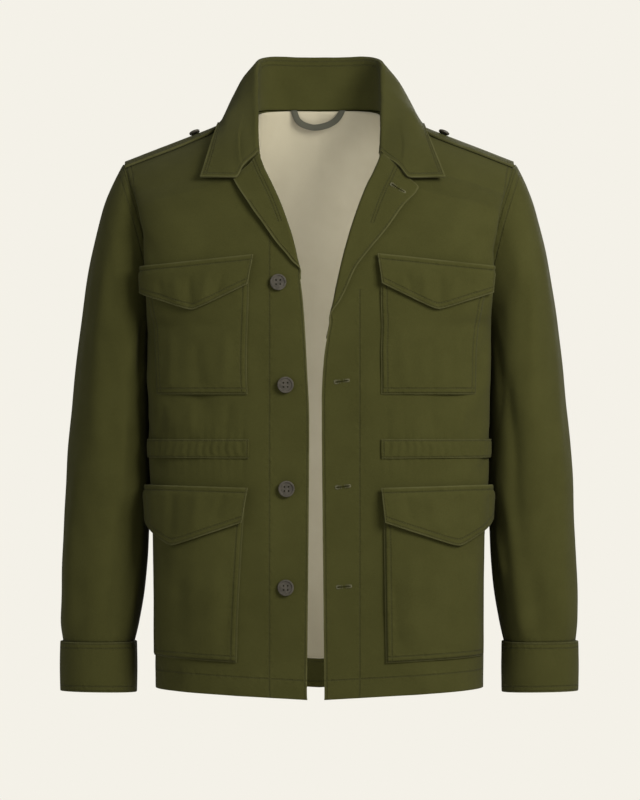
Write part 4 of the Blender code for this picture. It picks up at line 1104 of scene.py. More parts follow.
def add_back():
    """The back, its lining and the band inside its hem. Returns the back's points."""
    rows, half_lines = BACK_MESH
    heights = np.linspace(0.0, HEM, rows)
    share = np.linspace(0.0, 1.0, half_lines)
    halves = [back_section(height) for height in heights]
    spans = np.array([run_of(half)[-1] for half in halves])[:, None]
    left = np.array([by_length(half, span * share) for half, span in zip(halves, spans)])
    base = np.concatenate([(left * (-1, 1, 1))[:, :0:-1], left], axis=1)
    distance = spans * np.concatenate([-share[:0:-1], share])[None]
    level = np.broadcast_to(heights[:, None], distance.shape)
    normal = facing_out(base)
    edge = spans - np.abs(distance)
    fade = smooth_step(edge / 8.0) * smooth_step(-level / 10.0)
    folds = creased("back", distance, level) + waves("back", distance, level)
    folds += puckers("back_side_seam", level, edge - SEAM_ALLOWANCE)
    folds += puckers("back_hem", distance, level - HEM_LINE)
    outer = base + normal * (np.maximum(folds, -BACK_HOLLOW) * fade)[..., None]
    across = distance + BACK_MAP
    near = pair(across, -level)
    far = pair(edge, level - HEM)
    cloth("back", outer, near, far, "back", SHELL)

    band = int(np.argmin(np.abs(heights - HEM_FACING_TOP)))
    above, below = slice(0, band + 1), slice(band, None)
    drift = creased("lining", distance, level) + waves("lining", distance, level)
    inner = base - normal * (LINING_INSET + 0.5 + np.maximum(drift + 0.6, 0.0) * fade)[..., None]
    cloth("lining", inner[above], near[above], far[above], "lining", LINING, ("lining_back",))
    ripple = puckers("hem_facing", distance, level - HEM_FACING_TOP)
    hem = base - normal * (LINING_INSET + 0.9 + ripple)[..., None]
    near = pair(across, HEM_FACING_TOP - level)
    cloth("hem_facing", hem[below], near[below], far[below], "hem", LINING)
    return base


# ---------------------------------------------------------------- sleeves and cuffs
SLEEVE_ENDS = len(SLEEVE_ROWS) - 1.0  # the place of the sleeve's last ring
TUCK_DEPTH = 1.7  # how far inside the sleeve its tucked edge lies
LEAD_DEPTH = 0.9  # and the ring that leads to it
LEAD_RUN = 1.5
CUFF_ROWS = 26
CUFF_BELLY = 0.7
CUFF_TILT = 1.4
CUFF_PUCKER_SPAN = 64.0


def armhole_edge(front, back):
    """The left armhole's edge on the panels, by angle from the shoulder round the front."""
    front_edge = front[front[:, -1, 2] > ARMPIT + 0.5][:, -1]
    back_edge = back[back[:, -1, 2] > ARMPIT + 0.5][1:, -1][::-1]
    edge = np.concatenate([front_edge, back_edge])
    share = np.clip((edge[0, 2] - edge[:, 2]) / (edge[0, 2] - ARMPIT), 0.0, 1.0)
    angle = np.arccos(1 - 2 * share)
    angle[len(front_edge):] = TURN - angle[len(front_edge):]
    return edge, angle


def sleeve_ring(place, edge, angle):
    row = {name: float(curve(place)) for name, curve in SLEEVES.items()}
    power = 2.0 / row["squareness"]
    across = np.sign(np.cos(angle)) * np.abs(np.cos(angle)) ** power
    depth = np.sign(np.sin(angle)) * np.abs(np.sin(angle)) ** power
    x = (row["x_outer"] + row["x_inner"]) / 2 + (row["x_outer"] - row["x_inner"]) / 2 * across
    z = (row["z_outer"] + row["z_inner"]) / 2 + (row["z_outer"] - row["z_inner"]) / 2 * across
    ring = np.stack([x, row["y_mid"] - row["half_depth"] * depth, z], axis=-1)
    blend = float(smooth_step(1 - place / SLEEVE_BLEND))
    return ring * (1 - blend) + edge * blend


def armhole_ring(front, back, angle):
    """The sleeve's first ring, a little outside the armhole's edge on the panels."""
    edge, edge_angle = armhole_edge(front, back)
    order = np.argsort(edge_angle)
    closed = np.append(edge_angle[order], TURN)
    edge = edge[np.append(order, order[0])]
    ring = np.stack([np.interp(angle, closed, edge[:, axis]) for axis in range(3)], axis=-1)
    gap = ARMHOLE_GAP_TOP + ARMHOLE_GAP_SPREAD * np.sin(angle / 2)
    return ring + gap[:, None] * (1, 0, 0)


def add_sleeve(side, name, grid, angle, around):
    middle = grid.mean(axis=1, keepdims=True)
    normal = normals_of(grid, round_tube=True)
    normal *= np.sign(np.sum((grid - middle) * normal, axis=-1, keepdims=True))
    gaps = np.linalg.norm(np.diff(grid, axis=0), axis=-1).mean(axis=1)
    along = np.append(0.0, np.cumsum(gaps))
    a, b = np.meshgrid(np.degrees(angle), along)
    left = along[-1] - b
    folds = FOLD_SCALE * creased("sleeve_" + name, a, b, around / 360.0)
    folds += waves("sleeve", around * np.cos(np.radians(a)) / 3, b, side)
    inner_side = np.exp(-(((a - 180.0) / 38.0) ** 2))
    fade = smooth_step(b / 26.0) * smooth_step(left / 30.0) * (1 - 0.75 * inner_side)
    head = puckers("sleeve_head", a * around / 360.0, b, side) * smooth_step(b / 3.0)
    end = puckers("sleeve_end", a * around / 360.0, left, side) * smooth_step(left / 3.0)
    points = grid + normal * (folds * fade + head + end)[..., None]
    tuck = points[0] - (ARMHOLE_TUCK, 0.0, 0.0) - normal[0] * TUCK_DEPTH
    lead = points[0] - (LEAD_RUN, 0.0, 0.0) - normal[0] * LEAD_DEPTH
    points = np.concatenate([tuck[None], lead[None], points])
    along = np.append((-ARMHOLE_TUCK - LEAD_RUN, -LEAD_RUN), along)[:, None]
    wide = np.linspace(0.0, around, len(angle) + 1)
    near, far = pair(wide, along), pair(around - wide, along[-1] - along)
    cloth("sleeve_" + name, points * (side, 1, 1), near, far, "sleeve", SHELL, round_tube=True)


def add_cuff(side, name, last, angle, around):
    """A cuff on a sleeve's last ring."""
    out = last - last.mean(axis=0)
    out[:, 2] = 0.0
    out /= np.linalg.norm(out, axis=1, keepdims=True)
    stand = SHELL / 2 + SEAM_GAP + DOUBLE / 2 + CUFF_EASE
    levels = np.linspace(CUFF_TOP, CUFF_BOTTOM, CUFF_ROWS)[:, None]
    share = (levels - CUFF_TOP) / (CUFF_BOTTOM - CUFF_TOP)
    from_edge = np.minimum(share, 1 - share) * CUFF_PUCKER_SPAN - SEAM_ALLOWANCE
    ripple = puckers("cuff", np.degrees(angle) * around / 360.0, from_edge, side)
    push = stand + CUFF_BELLY * np.sin(math.pi * share) + ripple
    cuff = last * (1, 1, 0) + out * push[..., None]
    cuff[..., 2] += levels + CUFF_TILT * np.sin(angle + 0.6) * share
    wide = np.linspace(0.0, around, len(angle) + 1)
    run = CUFF_TOP - levels
    near, far = pair(wide, run), pair(around - wide, run[-1] - run)
    cloth("cuff_" + name, cuff * (side, 1, 1), near, far, "cuff", DOUBLE, round_tube=True)


def add_sleeves(back):
    rows, lines = SLEEVE_MESH
    angle = np.arange(lines) / lines * TURN
    for side, name in SIDES:
        ring = armhole_ring(FRONT_FLATS[side] * (side, 1, 1), back, angle)
        grid = np.array([sleeve_ring(place, ring, angle) for place in np.linspace(0.0, SLEEVE_ENDS, rows)])
        halfway = grid[rows // 2]
        around = run_of(np.concatenate([halfway, halfway[:1]]))[-1]
        add_sleeve(side, name, grid, angle, around)
        add_cuff(side, name, grid[-1], angle, around)


# ---------------------------------------------------------------- collar
COLLAR_STAND_SHARE = 0.45  # the share of the collar's width that is its stand
COLLAR_SMOOTHINGS = 12


def collar_line(row):
    """One section of the collar: up the stand, over the roll and down the fall."""
    parts = ("neck", "roll", "fall", "edge")
    neck, roll, fall, edge = (np.array([row[axis + part] for axis in ("x_", "y_", "z_")]) for part in parts)
    outward = fall - roll
    outward[2] = 0.0
    outward /= max(np.linalg.norm(outward), 1e-6)
    radius = min(COLLAR_ROLL, 0.35 * float(np.linalg.norm(roll - neck)))
    stand_top = roll - outward * radius - (0.0, 0.0, radius)
    fall_top = roll + outward * radius - (0.0, 0.0, radius)
    upper = (fall_top + fall) / 2 + outward * COLLAR_SWELL
    return np.array(
        [neck, (neck + stand_top) / 2, stand_top, roll, fall_top, upper, fall, (fall + edge) / 2, edge]
    )


def leaning(half):
    """The left half of the collar: its wing lies a little further out than the right one."""
    left = half.copy()
    out = np.clip((half[..., 0] - 84.0) / 22.0, 0.0, 1.0)
    left[..., 0] += COLLAR_LEAN * np.maximum(COLLAR_LEAN_FROM - half[..., 2], 0.0) * out
    return left


def add_collar(tree):
    sections, across = COLLAR_MESH
    curves = curves_of(COLLAR_COLUMNS, COLLAR_ROWS)
    share = np.linspace(0.0, 1.0, across)
    half = []
    for place in np.linspace(0.0, len(COLLAR_ROWS) - 1.0, sections):
        row = {name: float(curve(place)) for name, curve in curves.items()}
        half.append(path_curve(collar_line(row))(share))
    half = np.array(half)
    grid = np.concatenate([(half * (-1, 1, 1))[:0:-1], leaning(half)])
    over = int(across * COLLAR_STAND_SHARE)
    grid[:, over:] = kept_clear(grid[:, over:], tree, COLLAR_CLEAR)
    for _ in range(COLLAR_SMOOTHINGS):
        grid[1:-1, 1:-1] += 0.2 * (grid[2:, 1:-1] + grid[:-2, 1:-1] - 2 * grid[1:-1, 1:-1])
    run = np.array([run_of(line) for line in grid])
    length = run_of(grid[:, -8])
    steps_along = np.linalg.norm(np.diff(grid, axis=0), axis=-1)
    from_first = np.concatenate([np.zeros((1, across)), np.cumsum(steps_along, axis=0)])
    ends = np.minimum(from_first, from_first[-1:] - from_first)
    on_stand = 4.0 * (np.arange(across) < over)
    roll_run = run[np.arange(len(grid)), np.argmax(grid[..., 2] + on_stand, axis=1)]
    normal = normals_of(grid)
    a = np.broadcast_to(length[:, None], run.shape)
    from_edge = run[:, -1:] - run
    folds = waves("collar", a, run) * smooth_step(run / 20.0) * smooth_step(from_edge / 12.0)
    folds += puckers("collar", a, from_edge - SEAM_ALLOWANCE)
    points = grid + normal * folds[..., None]
    near = pair(ends, run - roll_run[:, None])
    far = pair(length[-1] - a, from_edge)
    cloth("collar", points, near, far, "collar", DOUBLE)


# ---------------------------------------------------------------- pockets, flaps and channels
POCKET_TURN = np.array([0.0, 0.7, 1.5, 2.4, 3.4, 4.6])  # lines crowded to a pocket's edge
POCKET_SEAT = PANEL_STAND + 0.15 + 0.064
FLAP_ROWS = np.concatenate([np.linspace(0.0, 0.16, 7)[:-1], np.linspace(0.16, 1.0, 22)])
FLAP_HEAD_RIDGE = 0.75  # the seam's ridge at a flap's head, and the groove under it
FLAP_RIM = 0.3  # and the same round its edge
CHANNEL_ROWS = 15
CHANNEL_STEP = 2.0
CHANNEL_PUFF = 0.35
CHANNEL_GATHER = 0.55


def on_front(side, distance, height):
    """(points, normals) of a grid of places on a front."""
    base = front_at(side, distance, height)
    return base, facing_out(base)


def laid_out(side, distance, height):
    """Distances from a front's edge of places on its pockets' shared layout."""
    distance, height = np.broadcast_arrays(np.asarray(distance, float), height)
    level = np.minimum(height, CHEST_HEIGHT)
    inner, outer = (POCKETS[side][name](level) for name in POCKET_COLUMNS[1:])
    within = inner + (distance - POCKET_INNER) / (CHEST_OUTER - POCKET_INNER) * (outer - inner)
    without = outer + (distance - CHEST_OUTER) / (HIP_OUTER - CHEST_OUTER) * (HIP_OUTER - outer)
    placed = np.where(distance < POCKET_INNER, distance * inner / POCKET_INNER, within)
    placed = np.where(distance > CHEST_OUTER, without, placed)
    return np.where(distance > HIP_OUTER, distance, placed)


def steps(first, last, size=PIECE_STEP):
    return np.linspace(first, last, int(abs(last - first) / size) + 1)


def add_pocket(side, kind, name, heights, outer, stand_off):
    top, bottom = heights
    last = POCKET_TURN[::-1]
    down = np.concatenate([top - 0.1 - POCKET_TURN, steps(top - 6.5, bottom + 6.5), bottom + last])
    between = steps(POCKET_INNER + 6.5, outer - 6.5)
    across = np.concatenate([POCKET_INNER + POCKET_TURN, between, outer - last])
    a, b = np.meshgrid(across, down)
    true = laid_out(side, a, b)
    base, normal = on_front(side, true, b)
    edge = np.minimum(np.minimum(a - POCKET_INNER, outer - a), b - bottom)
    rise = smooth_step(edge / POCKET_EDGE) * 0.8 + smooth_step(edge / 50.0) * 0.2
    rise *= 1 - 0.55 * smooth_step((a - 185.0) / 40.0)
    sag = 1 + 0.22 * smooth_step((top - b) / abs(top - bottom)) * smooth_step((b - bottom) / 25.0)
    folds = FOLD_SCALE * creased(kind, a, b) * smooth_step(edge / 14.0)
    folds += waves(kind, a, b, 2.0 * side) * smooth_step(edge / 12.0)
    seam = np.where(b - bottom < a - POCKET_INNER, a, b)
    stitched = puckers("pocket", seam, edge - SEAM_ALLOWANCE, side)
    lift = POCKET_SEAT + stand_off * rise * sag * POCKET_FULLNESS + folds + stitched
    points = base + normal * np.maximum(lift, PANEL_STAND)[..., None]
    near = pair(true - true[:, :1], top - b)
    far = pair(true[:, -1:] - true, b - bottom)
    cloth(f"{kind}_{name}", points, near, far, "pocket", SHELL)


def ridge(distance, place, width):
    return np.exp(-(((distance - place) / width) ** 2))


def add_flap(side, kind, name, heights, middle, outer, stand_off):
    top, corner, point = heights
    across = np.linspace(0.0, 1.0, int((outer - POCKET_INNER) / PIECE_STEP) + 2)
    share, fall = np.meshgrid(across, FLAP_ROWS)
    a = POCKET_INNER + (outer - POCKET_INNER) * share
    away = np.abs(a - middle) / np.where(a < middle, middle - POCKET_INNER, outer - middle)
    away = np.sqrt(away**2 + 0.004) - 0.063 + 0.062 * away  # rounds the point a little
    lowest = point + (corner - point) * away
    b = top + (lowest - top) * fall
    true = laid_out(side, a, b) + FLAP_OVERHANG * (2 * share - 1) + FLAP_SWING * fall
    base, normal = on_front(side, true, b)
    drop = top - b
    seat = SHELL / 2 + SEAM_GAP + DOUBLE / 2
    over = PANEL_STAND + stand_off + seat + 0.9
    head = seat + stand_off * 0.55 + 1.6
    lift = head + (over - head) * smooth_step(drop / 14.0) + FLAP_SPRING * fall
    lift = lift + FLAP_HEAD_RIDGE * (ridge(drop, 2.6, 2.4) - ridge(drop, 7.0, 2.2))
    edge = np.minimum(np.minimum(a - POCKET_INNER, outer - a), b - lowest)
    free = smooth_step(edge / 8.0 + 0.2) * smooth_step((drop - 5.0) / 8.0)
    lift = lift + FOLD_SCALE * creased(kind, a, b) * free + waves("flap", a, b, side)
    lift = lift + FLAP_RIM * (ridge(edge, 0.0, 2.4) - ridge(edge, 5.0, 1.8))
    points = base + normal * lift[..., None]
    slope = math.cos(math.atan2(abs(point - corner), (outer - POCKET_INNER) / 2))
    near = pair(true - true[:, :1], drop)
    far = pair(true[:, -1:] - true, (b - lowest) * slope)
    cloth(f"{kind}_{name}", points, near, far, "flap", DOUBLE)


def add_channel(side, name):
    span = float(run_of(front_section(side, (CHANNEL_TOP + CHANNEL_BOTTOM) / 2))[-1])
    down = np.linspace(CHANNEL_TOP, CHANNEL_BOTTOM, CHANNEL_ROWS)
    a, b = np.meshgrid(steps(POCKET_INNER, span, CHANNEL_STEP), down)
    base, normal = on_front(side, laid_out(side, a, b), b)
    edge = np.minimum(CHANNEL_TOP - b, b - CHANNEL_BOTTOM)
    inner = smooth_step((a - POCKET_INNER) / 5.0)
    sewn = smooth_step((edge - 1.0) / 6.0)
    puff = CHANNEL_PUFF * sewn * inner
    ripple = gathers(a + 1.4 * np.sin(b / 5.0 + a / 31.0)) * (0.3 + 0.75 * sewn) * inner
    lift = PANEL_STAND + 0.25 + puff + CHANNEL_GATHER * ripple
    points = base + normal * np.maximum(lift, PANEL_STAND - 0.2)[..., None]
    near = pair(a - POCKET_INNER, CHANNEL_TOP - b)
    far = pair(span - a, b - CHANNEL_BOTTOM)
    cloth("waist_channel_" + name, points, near, far, "channel", SHELL)


def add_front_pieces():
    chest = (CHEST_HEIGHT, CHEST_CORNER, CHEST_POINT)
    hip = (HIP_HEIGHT, HIP_CORNER, HIP_POINT)
    for side, name in SIDES:
        add_pocket(side, "chest_pocket", name, (CHEST_HEIGHT, CHEST_BOTTOM), CHEST_OUTER, CHEST_STAND_OFF)
        add_pocket(side, "hip_pocket", name, (HIP_HEIGHT, HIP_BOTTOM), HIP_OUTER, HIP_STAND_OFF)
        add_flap(side, "chest_flap", name, chest, CHEST_MIDDLE, CHEST_OUTER, CHEST_STAND_OFF)
        add_flap(side, "hip_flap", name, hip, HIP_MIDDLE, HIP_OUTER, HIP_STAND_OFF)
        add_channel(side, name)


# ---------------------------------------------------------------- straps and loop
STRAP_ROWS = 48
STRAP_LINES = 19
STRAP_ROUNDING = 17.0  # length of its rounded end
STRAP_END_SHARE = 0.32  # width of the very end, as a share
STRAP_SMOOTHINGS = 6
LOOP_POINTS = 60


def top_of(tree, x, y):
    for aside in SEAM_ASIDE:
        start = Vector((x, y + aside, 300.0))
        point, normal, _, _ = tree.ray_cast(start, Vector((0.0, 0.0, -1.0)))
        if point is not None:
            point.y = y
            return point, normal if normal.z > 0 else -normal
    raise ValueError(f"nothing lies under {x}, {y}")


def top_rows(tree, side, places, half_widths, lift):
    """A strap's points: straight lines on the shoulder, which go on past its seat at its slope."""
    across = np.linspace(-1.0, 1.0, STRAP_LINES)
    grid = np.zeros((len(places), STRAP_LINES, 3))
    for i, (x, half) in enumerate(zip(places, half_widths)):
        beyond = max(x - STRAP_SEAT, 0.0)
        rise = (side * (0.26 * lift + beyond), 0.0, 0.966 * lift + SHOULDER_SLOPE * beyond)
        for j, part in enumerate(across):
            point, _ = top_of(tree, side * (x - beyond), SEAM_DEPTH + part * half)
            grid[i, j] = np.array(point) + rise
    for _ in range(STRAP_SMOOTHINGS):
        grid[1:-1, :, 2] = (grid[:-2, :, 2] + 2 * grid[1:-1, :, 2] + grid[2:, :, 2]) / 4
        grid[:, 1:-1, 2] = (grid[:, :-2, 2] + 2 * grid[:, 1:-1, 2] + grid[:, 2:, 2]) / 4
    return grid, across


def add_strap(side, name, tree):
    length = STRAP_OUTER - STRAP_INNER
    share = np.linspace(0.0, 1.0, STRAP_ROWS)
    left = (1 - share) * length
    inset = np.clip(STRAP_ROUNDING - left, 0.0, STRAP_ROUNDING)
    narrow = np.sqrt(np.clip(STRAP_ROUNDING**2 - inset**2, 0.0, None)) / STRAP_ROUNDING
    narrow = STRAP_END_SHARE + (1 - STRAP_END_SHARE) * narrow
    half = (STRAP_HALF_WIDTH + (STRAP_END_HALF_WIDTH - STRAP_HALF_WIDTH) * share) * narrow
    lift = SHELL / 2 + STRAP_LIFT + STRAP_THICK / 2
    grid, across = top_rows(tree, side, STRAP_OUTER - length * share, half, lift)
    run = share * length
    edge = half[:, None] - np.abs(across[None] * half[:, None])
    near = pair(edge, run[:, None])
    far = pair(edge, (length - run)[:, None])
    cloth("strap_" + name, grid, near, far, "strap", STRAP_THICK)


def add_loop():
    curve = path_curve([(x, LOOP_DEPTH, z) for x, z in LOOP_ROWS])
    line = curve(np.linspace(0.0, 1.0, LOOP_POINTS))
    ahead = np.gradient(line, axis=0)
    ahead /= np.linalg.norm(ahead, axis=1, keepdims=True)
    across = np.stack([ahead[:, 2], np.zeros(len(line)), -ahead[:, 0]], axis=-1)
    number = np.arange(LOOP_POINTS)
    ends = smooth_step(np.minimum(number, number[::-1]) / 6.0)[:, None]
    flat = np.zeros_like(across)
    flat[:, 0] = np.where(number < LOOP_POINTS // 2, -1.0, 1.0)
    across = across * ends + flat * (1 - ends)
    across /= np.linalg.norm(across, axis=1, keepdims=True)
    part = np.linspace(-0.5, 0.5, 7)
    grid = line[:, None] + across[:, None] * (part * LOOP_WIDTH)[None, :, None]
    grid[..., 1] -= 0.5 * np.cos(part * math.pi)[None] + 0.25 * np.sin(line[:, 0] / 6.0)[:, None]
    run = run_of(line)
    near = pair((part + 0.5)[None] * LOOP_WIDTH, run[:, None])
    far = pair((0.5 - part)[None] * LOOP_WIDTH, run[-1] - run[:, None])
    cloth("hanger_loop", grid, near, far, "tape", LOOP_THICK * 0.8)


# ---------------------------------------------------------------- thread
def thread_piece(name, paths, radius, material):
    """Threads as one curve object: each path is a list of points in millimetres."""
    data = bpy.data.curves.new(name, "CURVE")
    data.dimensions = "3D"
    data.bevel_depth = radius * MM
    data.bevel_resolution = 1
    data.resolution_u = 3
    data.use_fill_caps = True
    for path in paths:
        spline = data.splines.new("POLY")
        spline.points.add(len(path) - 1)
        placed = np.concatenate([to_frame(path), np.ones((len(path), 1))], axis=1)
        spline.points.foreach_set("co", placed.ravel())
    data.materials.append(MATERIALS[material])
    piece = bpy.data.objects.new(name, data)
    bpy.context.scene.collection.objects.link(piece)
    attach(piece, "root")


def place_on_front(side, distance, height):
    """(point, normal) of one place on a front."""
    a, b = np.meshgrid([distance - 1, distance, distance + 1], [height + 1, height, height - 1])
    base, normal = on_front(side, a, b)
    return base[1, 1], normal[1, 1]


def frame_of(normal, up=(0.0, 0.0, 1.0)):
    """Two directions across a normal: sideways and up."""
    normal = np.asarray(normal, float) / np.linalg.norm(normal)
    side = np.cross(up, normal)
    side /= np.linalg.norm(side)
    return side, np.cross(normal, side), normal


THREAD_RADIUS = 0.85  # of the shank's threads, which fill a button's holes and are coloured near-black as the holes' painted shade


def button_threads(base, normal, stand, thick):
    """Four threads, one through each of a button's holes."""
    one, two, out = frame_of(normal, (0.0, 0.0, 1.0) if abs(normal[2]) < 0.8 else (0.0, 1.0, 0.0))
    paths = []
    for across, along in ((-1, -1), (-1, 1), (1, -1), (1, 1)):
        corner = one * across + two * along
        hole = base + out * stand + corner * BUTTON_HOLE_SPREAD
        foot = hole - out * (stand - 0.2) - corner * 0.5
        paths.append([foot, hole - out * 0.2, hole + out * (thick - 0.7)])
    return paths


def add_button_threads(tree):
    threads = {}
    for number, height in enumerate(BUTTON_HEIGHTS, start=1):
        place = place_on_front(-1, BUTTON_INSET, height)
        threads[f"button_{number}"] = (*place, SHELL / 2 + BUTTON_STAND, BUTTON_THICK)
    stand = SHELL / 2 + STRAP_LIFT + STRAP_THICK + STRAP_BUTTON_STAND
    for side, name in SIDES:
        place = (np.array(v) for v in top_of(tree, side * STRAP_BUTTON_X, SEAM_DEPTH))
        threads["strap_button_" + name] = (*place, stand, STRAP_BUTTON_THICK)
    for name, row in threads.items():
        thread_piece(name + "_thread", button_threads(*row), THREAD_RADIUS, "button_hole_shade_thread")


# The left front's buttonholes, in body millimetres and degrees.
BUTTONHOLE_COLUMNS = ("name", "distance", "height", "length", "slant")
BUTTONHOLES = (
    ("buttonhole_2", 24.5, -350.5, 18.0, 8.0),
    ("buttonhole_3", 26.0, -483.0, 18.0, 7.0),
    ("buttonhole_4", 26.0, -608.5, 18.0, 5.0),
)
LAPEL_HOLE = {"x": 100.0, "z": -108.5, "length": 21.0, "slant": -36.0}
BARS = 34  # of thread round a buttonhole
BAR_RADIUS = 0.36
SLIT_RADIUS = 0.6
SLIT_HALF_WIDTH = 1.45
HOLE_LIFT = SHELL / 2 + 0.5  # of a buttonhole's thread off the middle of its cloth


def add_buttonholes():
    for row in BUTTONHOLES:
        hole = dict(zip(BUTTONHOLE_COLUMNS, row))
        place = place_on_front(1, hole["distance"], hole["height"])
        add_buttonhole(hole["name"], *place, hole["length"], hole["slant"])


def add_lapel_buttonhole():
    """The left lapel's buttonhole, on the place of the lapel nearest to where it's worked."""
    points, normal = LAPEL_FLATS[1]
    away = np.hypot(points[..., 0] - LAPEL_HOLE["x"], points[..., 2] - LAPEL_HOLE["z"])
    nearest = np.unravel_index(np.argmin(away), away.shape)
    sizes = (LAPEL_HOLE["length"], LAPEL_HOLE["slant"])
    add_buttonhole("buttonhole_lapel", points[nearest], normal[nearest], *sizes)


def rounded(value, power):
    return math.copysign(abs(value) ** power, value)


def add_buttonhole(name, centre, normal, length, slant):
    """A worked buttonhole: close thread bars round its slit, which a near-black curve darkens as painted
    shade, with an eyelet at one end.
    """
    one, two, out = frame_of(normal)
    turn = math.radians(slant)
    ahead = one * math.cos(turn) + two * math.sin(turn)
    up = np.cross(out, ahead)
    half = length / 2
    paths = []
    for bar in range(BARS):
        t = TURN * bar / BARS
        x = half * rounded(math.cos(t), 0.55)
        eyelet = 0.7 * math.exp(-(((x + half - 2.2) / 1.8) ** 2))
        y = (SLIT_HALF_WIDTH + eyelet) * rounded(math.sin(t), 0.45)
        grow = 1.0 + 1.0 / max(math.hypot(x / half * 1.3, y), 0.6)
        inner = centre + ahead * x * 0.985 + up * y * 0.55 + out * (HOLE_LIFT - 0.15)
        outer = centre + ahead * x * 1.10 + up * y * grow + out * (HOLE_LIFT - 0.35)
        paths.append([inner, (inner + outer) / 2 + out * 0.35, outer])
    thread_piece(name + "_thread", paths, BAR_RADIUS, "hole_thread")
    # The slit's gap: a near-black curve at its floor, painted shade.
    floor_of_slit = centre + out * (HOLE_LIFT - 0.12)
    slit = [floor_of_slit + ahead * (half * 0.9 * part) for part in np.linspace(-1, 1, 12)]
    thread_piece(name + "_slit", [slit], SLIT_RADIUS, "slit")


# ---------------------------------------------------------------- the scene
EDGE_LINES = (1.8, 7.6)  # topstitching's distances from a seam


def both(map_name, axis, limits=(), ats=EDGE_LINES):
    return [(map_name, axis, at, tuple(limits)) for at in ats]


FAR_SIDE = 1000.0
HEM_REACH = 299.0  # the hem's stitching stops short of the lapel, whose map starts at LAPEL_MAP
POCKET_LINES = (
    both("near", 0, [("far", 1, 1.8, FAR_SIDE)])
    + both("far", 0, [("far", 1, 1.8, FAR_SIDE)])
    + both("far", 1, [("near", 0, 1.8, FAR_SIDE), ("far", 0, 1.8, FAR_SIDE)])
)
FLAP_LINES = (
    both("far", 1, [("near", 0, 1.8, FAR_SIDE), ("far", 0, 1.8, FAR_SIDE)])
    + both("near", 0, [("far", 1, 1.8, FAR_SIDE)], EDGE_LINES[:1])
    + both("far", 0, [("far", 1, 1.8, FAR_SIDE)], EDGE_LINES[:1])
    + [("near", 1, 6.6, ())]
)


def front_twill(name, placket, placket_from, seam):
    """A front's cloth. The placket's stitching hangs plumb, from this far down, and the facing's
    seam shows on the lapel this far beyond its fold."""
    return twill(
        name,
        [
            ("near", 0, 3.0, (("near", 1, 118.0, FAR_SIDE),)),
            ("plumb", 0, placket, (("plumb", 1, placket_from, FAR_SIDE),)),
            *both("far", 0, [("near", 1, 64.0, 150.0)], (LAPEL_MAP + seam, LAPEL_MAP + seam + 3.6)),
            *both("far", 0),
            ("far", 1, HEM_STITCH, (("far", 0, 0.0, HEM_REACH),)),
        ],
        [("near", 0, 3.0)],
    )


MATERIALS = {
    "front_right": front_twill("olive_twill_front_right", 62.5, 100.0, 12.0),
    "front_left": front_twill("olive_twill_front_left", 50.5, 236.0, 26.0),
    "back": twill("olive_twill_back", [*both("far", 0), ("far", 1, HEM_STITCH, ())]),
    "sleeve": twill("olive_twill_sleeve", [("near", 1, 3.0, ()), ("near", 1, 10.0, ()), ("far", 1, 8.0, ())]),
    "cuff": twill("olive_twill_cuff", both("near", 1) + both("far", 1), [("far", 1, 2.5), ("near", 1, 2.0)]),
    "collar": twill(
        "olive_twill_collar",
        both("far", 1, [("near", 0, 3.5, FAR_SIDE)], (3.4, 6.4))
        + both("near", 0, [("near", 1, 6.0, FAR_SIDE), ("far", 1, 3.4, FAR_SIDE)], (6.0,))
        + both("near", 1, [("near", 0, 95.0, FAR_SIDE)], (-5.0, -11.0)),
        [("far", 1, 2.6), ("near", 0, 2.6)],
    ),
    "pocket": twill("olive_twill_pocket", POCKET_LINES, [("near", 0, 2.0), ("far", 0, 2.0), ("far", 1, 2.0)]),
    "flap": twill(
        "olive_twill_flap", FLAP_LINES, [("far", 1, 3.0), ("near", 1, 3.0), ("near", 0, 2.5), ("far", 0, 2.5)]
    ),
    "channel": twill(
        "olive_twill_channel",
        both("near", 1, (), EDGE_LINES[:1]) + both("far", 1, (), EDGE_LINES[:1]) + [("near", 0, 3.0, ())],
        [("near", 1, 1.5), ("far", 1, 1.5)],
    ),
    "strap": twill("olive_twill_strap", both("near", 0), [("near", 0, 2.5)]),
    "hem": twill("olive_facing_hem", [("near", 1, 2.0, ()), ("far", 1, 8.0, ())]),
    "lining": lining_cloth("beige_lining_cloth", [("near", 1, 3.0, ()), ("far", 1, HEM_BAND + 3.0, ())]),
    "tape": tape_cloth("loop_tape_cloth"),
    "button": button_material("button_plastic_moulded"),
    # Real thread, coloured near-black as painted shade in a button's holes.
    "button_hole_shade_thread": thread_material("button_hole_shade_thread", HOLE_PAINTED_SHADE, OLIVE_PAINTED_SHADE),
    "hole_thread": thread_material("buttonhole_thread", OLIVE_THREAD, HOLE_THREAD),
    # Painted shade: the near-black curve in each buttonhole's slit.
    "slit": thread_material("buttonhole_slit_painted_shade", HOLE_PAINTED_SHADE, OLIVE_DARK),
}

add_front(-1, "front_right")
add_front(1, "front_left")
BACK_BASE = add_back()
BODY = surface_tree([FRONT_FLATS[-1], FRONT_FLATS[1], BACK_BASE])
add_sleeves(BACK_BASE)
add_collar(BODY)
add_front_pieces()
for strap_side in SIDES:
    add_strap(*strap_side, BODY)
add_loop()
add_button_threads(BODY)
add_buttonholes()
add_lapel_buttonhole()

for node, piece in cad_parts.items():
    if "button" in node:
        for material_slot in piece.material_slots:
            material_slot.material = MATERIALS["button"]

# ---------------------------------------------------------------- camera, light and floor
SENSOR = 36.0
CAMERA_DISTANCE = 5500.0  # in front of the fronts
FRONT_PLANE = -125.0
PIXEL = 1.25  # millimetres of the front plane in one pixel
FRAME_HEIGHT = 800.0
CAMERA_PLACE = (0.9, FRONT_PLANE - CAMERA_DISTANCE, -374.0)

